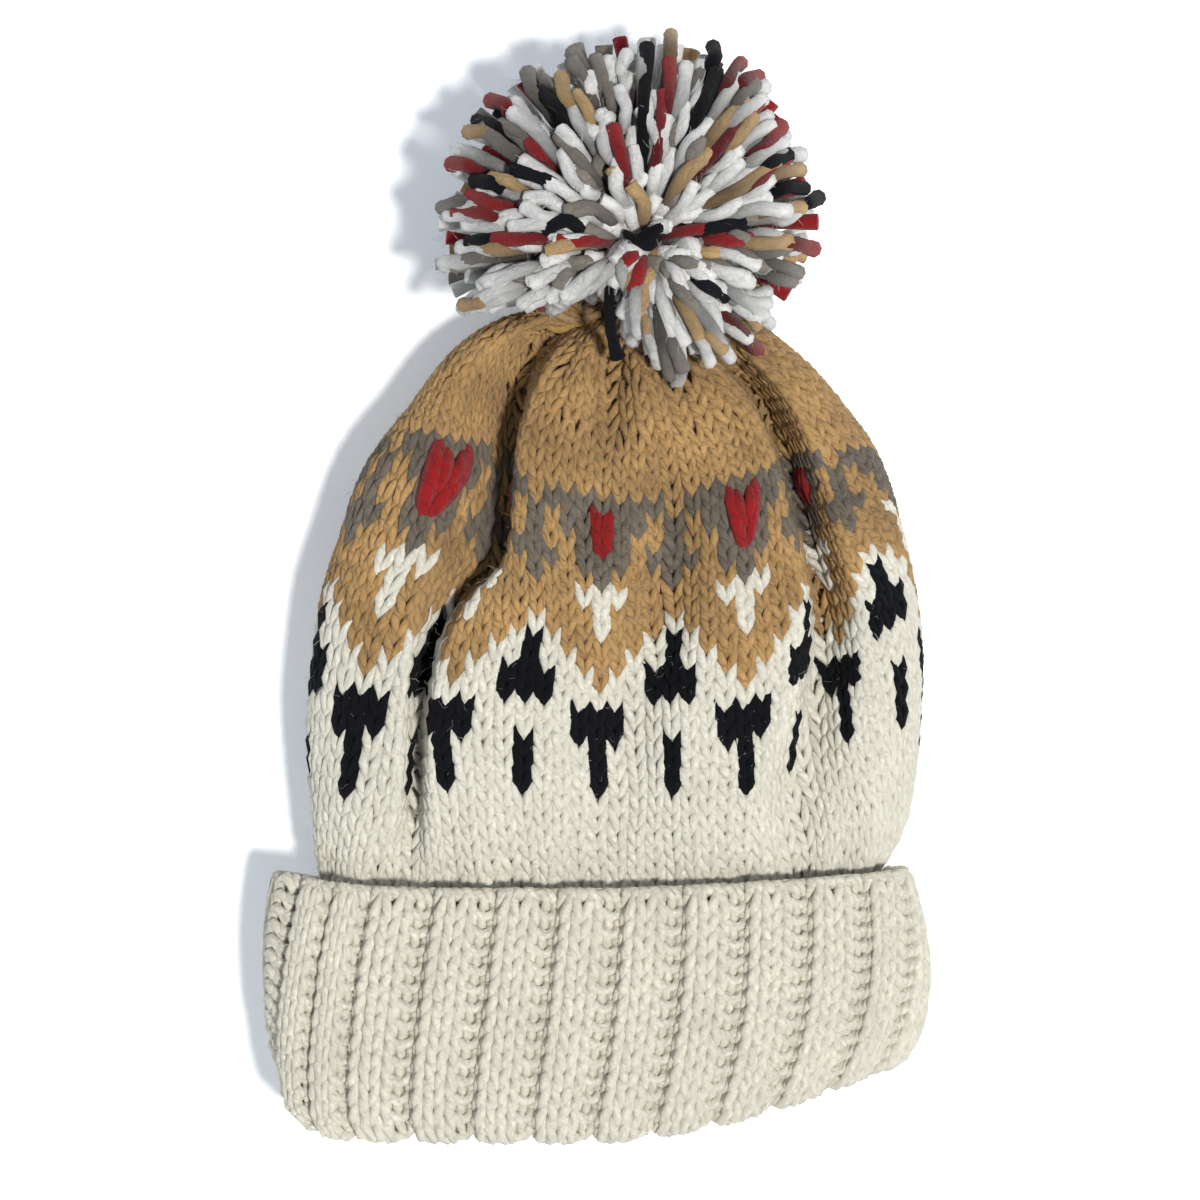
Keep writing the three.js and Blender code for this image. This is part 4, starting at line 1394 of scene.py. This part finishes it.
def cut_strand(yarn, line, radius, rng):
    """Adds a strand that swells to a blunt cut end."""
    step = unit(line[-1] - line[-2])
    jitter = np.stack([smooth_noise(rng, len(line), 0.09, 4) for _ in range(3)], axis=-1)
    line = line + jitter
    line = np.concatenate([line, [line[-1] + step * radius * 0.07, line[-1] + step * radius * 0.09]])
    share = np.linspace(0, 1, len(line) - 2)
    size = np.interp(share, (0, 0.35, 0.7, 0.9, 1), (0.42, 0.76, 0.93, 1.0, 1.16))
    size = size * (1 + smooth_noise(rng, len(size), 0.05, 4))
    size = np.concatenate([size, [size[-1] * 0.93, 0.01]])
    line[:, 2] = np.maximum(line[:, 2], radius + 0.2)
    length = np.linalg.norm(np.diff(line, axis=0), axis=-1).sum()
    yarn.add(line, radius * size, -length)
    return line[:-1]


def loose_fibre(yarn, start, way, length, color, rng):
    """Adds one hair that stands off the yarn and curls over."""
    curl = rng.normal(0, 0.35, (3, 3)) * length
    places = [start, start + way * length * 0.4, start + way * length * 0.75, start + way * length]
    points = np.array(places) + np.concatenate([[[0, 0, 0]], np.cumsum(curl * 0.5, axis=0)])
    yarn.add(points, np.array([0.055, 0.05, 0.04, 0.02]), color=color)


def fibre_piece(name, yarn, slot):
    strand_piece(name, yarn, 3, fibre_material(), slot)


class TOQUE_OT_pompom(bpy.types.Operator):
    """Cuts and spreads the pompom's strands, ties them and draws the crown in beneath"""

    bl_idname = "toque.pompom"
    bl_label = "Pompom"

    # How many strands fill the sides and the lower half, and how many lie on the crown's shoulder.
    SIDE_STRANDS = 210
    FRONT_STRANDS = 64
    # No side strand ends over the crown, in front of this and between these places.
    CROWN_FRONT_Y = 90
    CROWN_SIDES_X = (-50, 72)

    def execute(self, context):
        p = props()
        rng = np.random.default_rng(23)
        yarns = {name: Yarn() for name in CUT_YARNS}
        lines = []

        def cut(name, line):
            radius = p.strand_radius * rng.uniform(0.92, 1.12)
            lines.append((name, cut_strand(yarns[name], line, radius, rng), radius))

        for name, degrees, out, bare in SHOWN_STRANDS:
            cut(name, upper_strand(math.radians(degrees), out, bare + 3, 1.8, 1.2, rng))
        for i in range(p.strands):
            share = math.sqrt((i + 3) / (p.strands + 3))
            angle = i * GOLDEN_ANGLE + rng.normal(0, 0.09)
            out = share * reach_at(angle) * rng.uniform(0.88, 1.01)
            name = str(rng.choice(CUT_YARNS[:3], p=(0.82, 0.13, 0.05)))
            bare = rng.uniform(9, 25) * (0.35 + 0.65 * share)
            cut(name, upper_strand(angle, out, bare, rng.normal(-0.6, 1.9), 1.3, rng))
        self.fill_sides(cut, rng)
        self.fill_front(cut, rng)
        for name, yarn in yarns.items():
            nodes = ["pompom"] if name == "white" else []
            label = f"pompom_{name}_strands"
            strand_piece(label, yarn, 8, yarn_material(f"cut {name}"), f"{name}_yarn", *nodes)
        self.fray(lines, rng)
        self.heart()
        self.tie()
        self.gather()
        return {"FINISHED"}

    def fill_sides(self, cut, rng):
        """The strands that stick out sideways and those that the toque lies on."""
        left, right = self.CROWN_SIDES_X
        for i in range(self.SIDE_STRANDS):
            angle = i * GOLDEN_ANGLE
            fall = 0.30 - 1.15 * (i + 0.5) / self.SIDE_STRANDS
            out = reach_at(angle) * math.cos(fall * 1.2) * rng.uniform(0.88, 1.0)
            way = direction(angle)
            end = PARTING + way * out + np.array([0, 0, 42 * math.sin(fall * 1.3)])
            if end[1] < self.CROWN_FRONT_Y and left < end[0] < right:
                continue
            end[2] = max(end[2], props().strand_radius + 0.4)
            middle = PARTING + (end - PARTING) * 0.55 + rng.normal(0, 2.2, 3)
            name = str(rng.choice(CUT_YARNS, p=(0.50, 0.16, 0.11, 0.12, 0.11)))
            cut(name, curved([PARTING + way * 5, middle, end], 5))

    def fill_front(self, cut, rng):
        """The strands that lie on the crown's shoulder, below those that show."""
        sections = rows_of(CROWN_SECTIONS, SECTION_COLUMNS)

        def rest_at(y):
            return float(smooth_value(sections, "y", "over", y)) + 3.5

        for i in range(self.FRONT_STRANDS):
            angle = math.radians(-172 + 164 * (i + 0.5) / self.FRONT_STRANDS)
            out = reach_at(angle) * rng.uniform(0.66, 0.86)
            end = PARTING + direction(angle) * out
            end[2] = rest_at(end[1]) + rng.uniform(0, 9)
            middle = PARTING + (end - PARTING) * 0.6 + np.array([0, 0, 6]) + rng.normal(0, 1.5, 3)
            middle[2] = max(middle[2], rest_at(middle[1]))
            name = str(rng.choice(CUT_YARNS[:4], p=(0.7, 0.16, 0.08, 0.06)))
            cut(name, curved([PARTING + [0, 0, 14], middle, end], 5))

    def fray(self, lines, rng):
        """The hairs along the strands and at their cut ends."""
        yarn = Yarn()
        for name, line, radius in lines:
            color = linear(getattr(props(), f"cut_{name}"))
            along = unit(line[-1] - line[-3])
            for _ in range(5):
                off = rng.normal(0, 0.5, 3) * radius
                way = unit(along + rng.normal(0, 0.35, 3))
                loose_fibre(yarn, line[-1] + off - along * 0.8, way, rng.uniform(1.2, 3.2), color, rng)
            for _ in range(4):
                k = rng.integers(len(line) // 2, len(line) - 1)
                way = unit(np.cross(along, rng.normal(0, 1, 3)))
                start = line[k] + way * radius * 0.9
                loose_fibre(yarn, start, unit(way + along * 0.8), rng.uniform(1.5, 3.5), color, rng)
        fibre_piece("pompom_loose_fibres", yarn, "white_yarn")

    def heart(self):
        """The dense middle of the pompom, which no light passes through, painted in the shade that fills
        it.
        """
        mesh = bpy.data.meshes.new("pompom_heart")
        builder = bmesh.new()
        bmesh.ops.create_icosphere(builder, subdivisions=4, radius=1)
        rng = np.random.default_rng(3)
        for vertex in builder.verts:
            way = np.array(vertex.co)
            flat = 0.62 * reach_at(math.atan2(way[1], way[0])) + rng.normal(0, 0.8)
            vertex.co = (PARTING + way * np.array([flat, flat, 27])) * MM
        builder.to_mesh(mesh)
        builder.free()
        # painted shade: the white yarn at a small share of its brightness
        shade = (*(c * 0.15 for c in linear(props().cut_white)), 1.0)
        color_points(mesh, np.tile(shade, (len(mesh.vertices), 1)))
        dressed(lining_piece("pompom_heart", mesh), "white_yarn")

    def tie(self):
        """The black yarn that ties the pompom: its knot in the parting and one loose end."""
        yarn = Yarn()
        for radius, seed, places in TIE_STRANDS:
            cut_strand(yarn, curved(places), radius, np.random.default_rng(seed))
        strand_piece("pompom_tie_yarn", yarn, 8, yarn_material("cut black"), "black_yarn", "pompom_tie")

    def gather(self):
        """The tan yarn that draws the crown's end in, wound round its neck and laid over its top."""
        yarn = Yarn()
        turn = np.linspace(0, 4.2 * math.pi, 90)
        low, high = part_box("gather_yarn")
        middle = [(a + b) / 2 / MM for a, b in zip(low, high)]
        half = [(b - a) / 2 / MM - 1.2 for a, b in zip(low, high)]
        x = middle[0] + half[0] * np.cos(turn)
        y = middle[1] - 1.6 + 3.2 * turn / turn[-1]
        z = middle[2] + half[2] * np.sin(turn)
        yarn.add(np.stack([x, y, z], axis=-1), 1.9)
        fabric = crown_fabric(4, 90)
        for k, lift in enumerate((1.0, 1.6)):
            columns = np.linspace(-15, -4, 26)
            rows = 28.2 + 1.3 * k + 0.14 * (columns + 15)
            yarn.add(fabric.place(rows, columns, np.full(26, lift))[0], 1.3)
        material = yarn_material("cut tan")
        strand_piece("gather_yarn_turns", yarn, 8, material, "tan_yarn", "gather_yarn")


# The stage. The camera looks straight down on a square of this width, in millimetres, at the height
# of the toque's middle.
VIEW_WIDTH = 372
VIEW_MIDDLE = (1.2, -3.4)
VIEW_HEIGHT = 35
FLOOR_REACH = 3.0
SUN_FROM = Vector((0.33, -0.17, 1.05))


class TOQUE_OT_stage(bpy.types.Operator):
    """Lays the floor and sets the lights and the camera"""

    bl_idname = "toque.stage"
    bl_label = "Stage"

    def execute(self, context):
        scene = context.scene
        mesh = bpy.data.meshes.new("floor")
        r = FLOOR_REACH
        mesh.from_pydata([(-r, -r, 0), (r, -r, 0), (r, r, 0), (-r, r, 0)], [], [(0, 1, 2, 3)])
        floor = made_piece("floor", mesh)
        material, tree, shader = blank_material("floor")
        looks = {
            "Base Color": (0.96, 0.965, 0.97, 1),
            "Roughness": 0.9,
            "Emission Color": (0.80, 0.90, 1.0, 1),
            "Emission Strength": 0.2,
        }
        feed(tree, shader, looks)
        mesh.materials.append(material)
        world = bpy.data.worlds.new("studio")
        scene.world = world
        world.use_nodes = True
        sky = world.node_tree.nodes["Background"]
        feed(world.node_tree, sky, {"Color": (0.84, 0.91, 1.0, 1), "Strength": 0.5})
        light = bpy.data.lights.new("key", "SUN")
        light.energy = 3.2
        light.angle = 0.12
        light.color = (1.0, 0.98, 0.94)
        lamp = bpy.data.objects.new("key", light)
        lamp.rotation_euler = (-SUN_FROM).to_track_quat("-Z", "Y").to_euler()
        scene.collection.objects.link(lamp)
        camera = bpy.data.cameras.new("camera")
        camera.lens = 150
        camera.sensor_width = 36
        holder = bpy.data.objects.new("camera", camera)
        distance = VIEW_WIDTH * MM * camera.lens / camera.sensor_width
        x, y = VIEW_MIDDLE
        holder.location = (x * MM, y * MM, distance + VIEW_HEIGHT * MM)
        scene.collection.objects.link(holder)
        scene.camera = holder
        scene.view_settings.view_transform = "Standard"
        return {"FINISHED"}


class TOQUE_PT_panel(bpy.types.Panel):
    """The toque's sizes and colours, and a button for each of its pieces"""

    bl_label = "Knit Toque"
    bl_space_type = "VIEW_3D"
    bl_region_type = "UI"
    bl_category = "Toque"

    def draw(self, context):
        for name in KnitToqueProperties.__annotations__:
            self.layout.prop(context.scene.knit_toque, name)
        for operator in OPERATORS:
            self.layout.operator(operator.bl_idname)


OPERATORS = (TOQUE_OT_crown, TOQUE_OT_cuff, TOQUE_OT_pompom, TOQUE_OT_stage)
CLASSES = (KnitToqueProperties, *OPERATORS, TOQUE_PT_panel)


def register():
    for cls in CLASSES:
        bpy.utils.register_class(cls)
    bpy.types.Scene.knit_toque = PointerProperty(type=KnitToqueProperties)


def unregister():
    del bpy.types.Scene.knit_toque
    for cls in reversed(CLASSES):
        bpy.utils.unregister_class(cls)


def main():
    register()
    for operator in OPERATORS:
        group, name = operator.bl_idname.split(".")
        getattr(getattr(bpy.ops, group), name)()


if __name__ == "__main__":
    main()
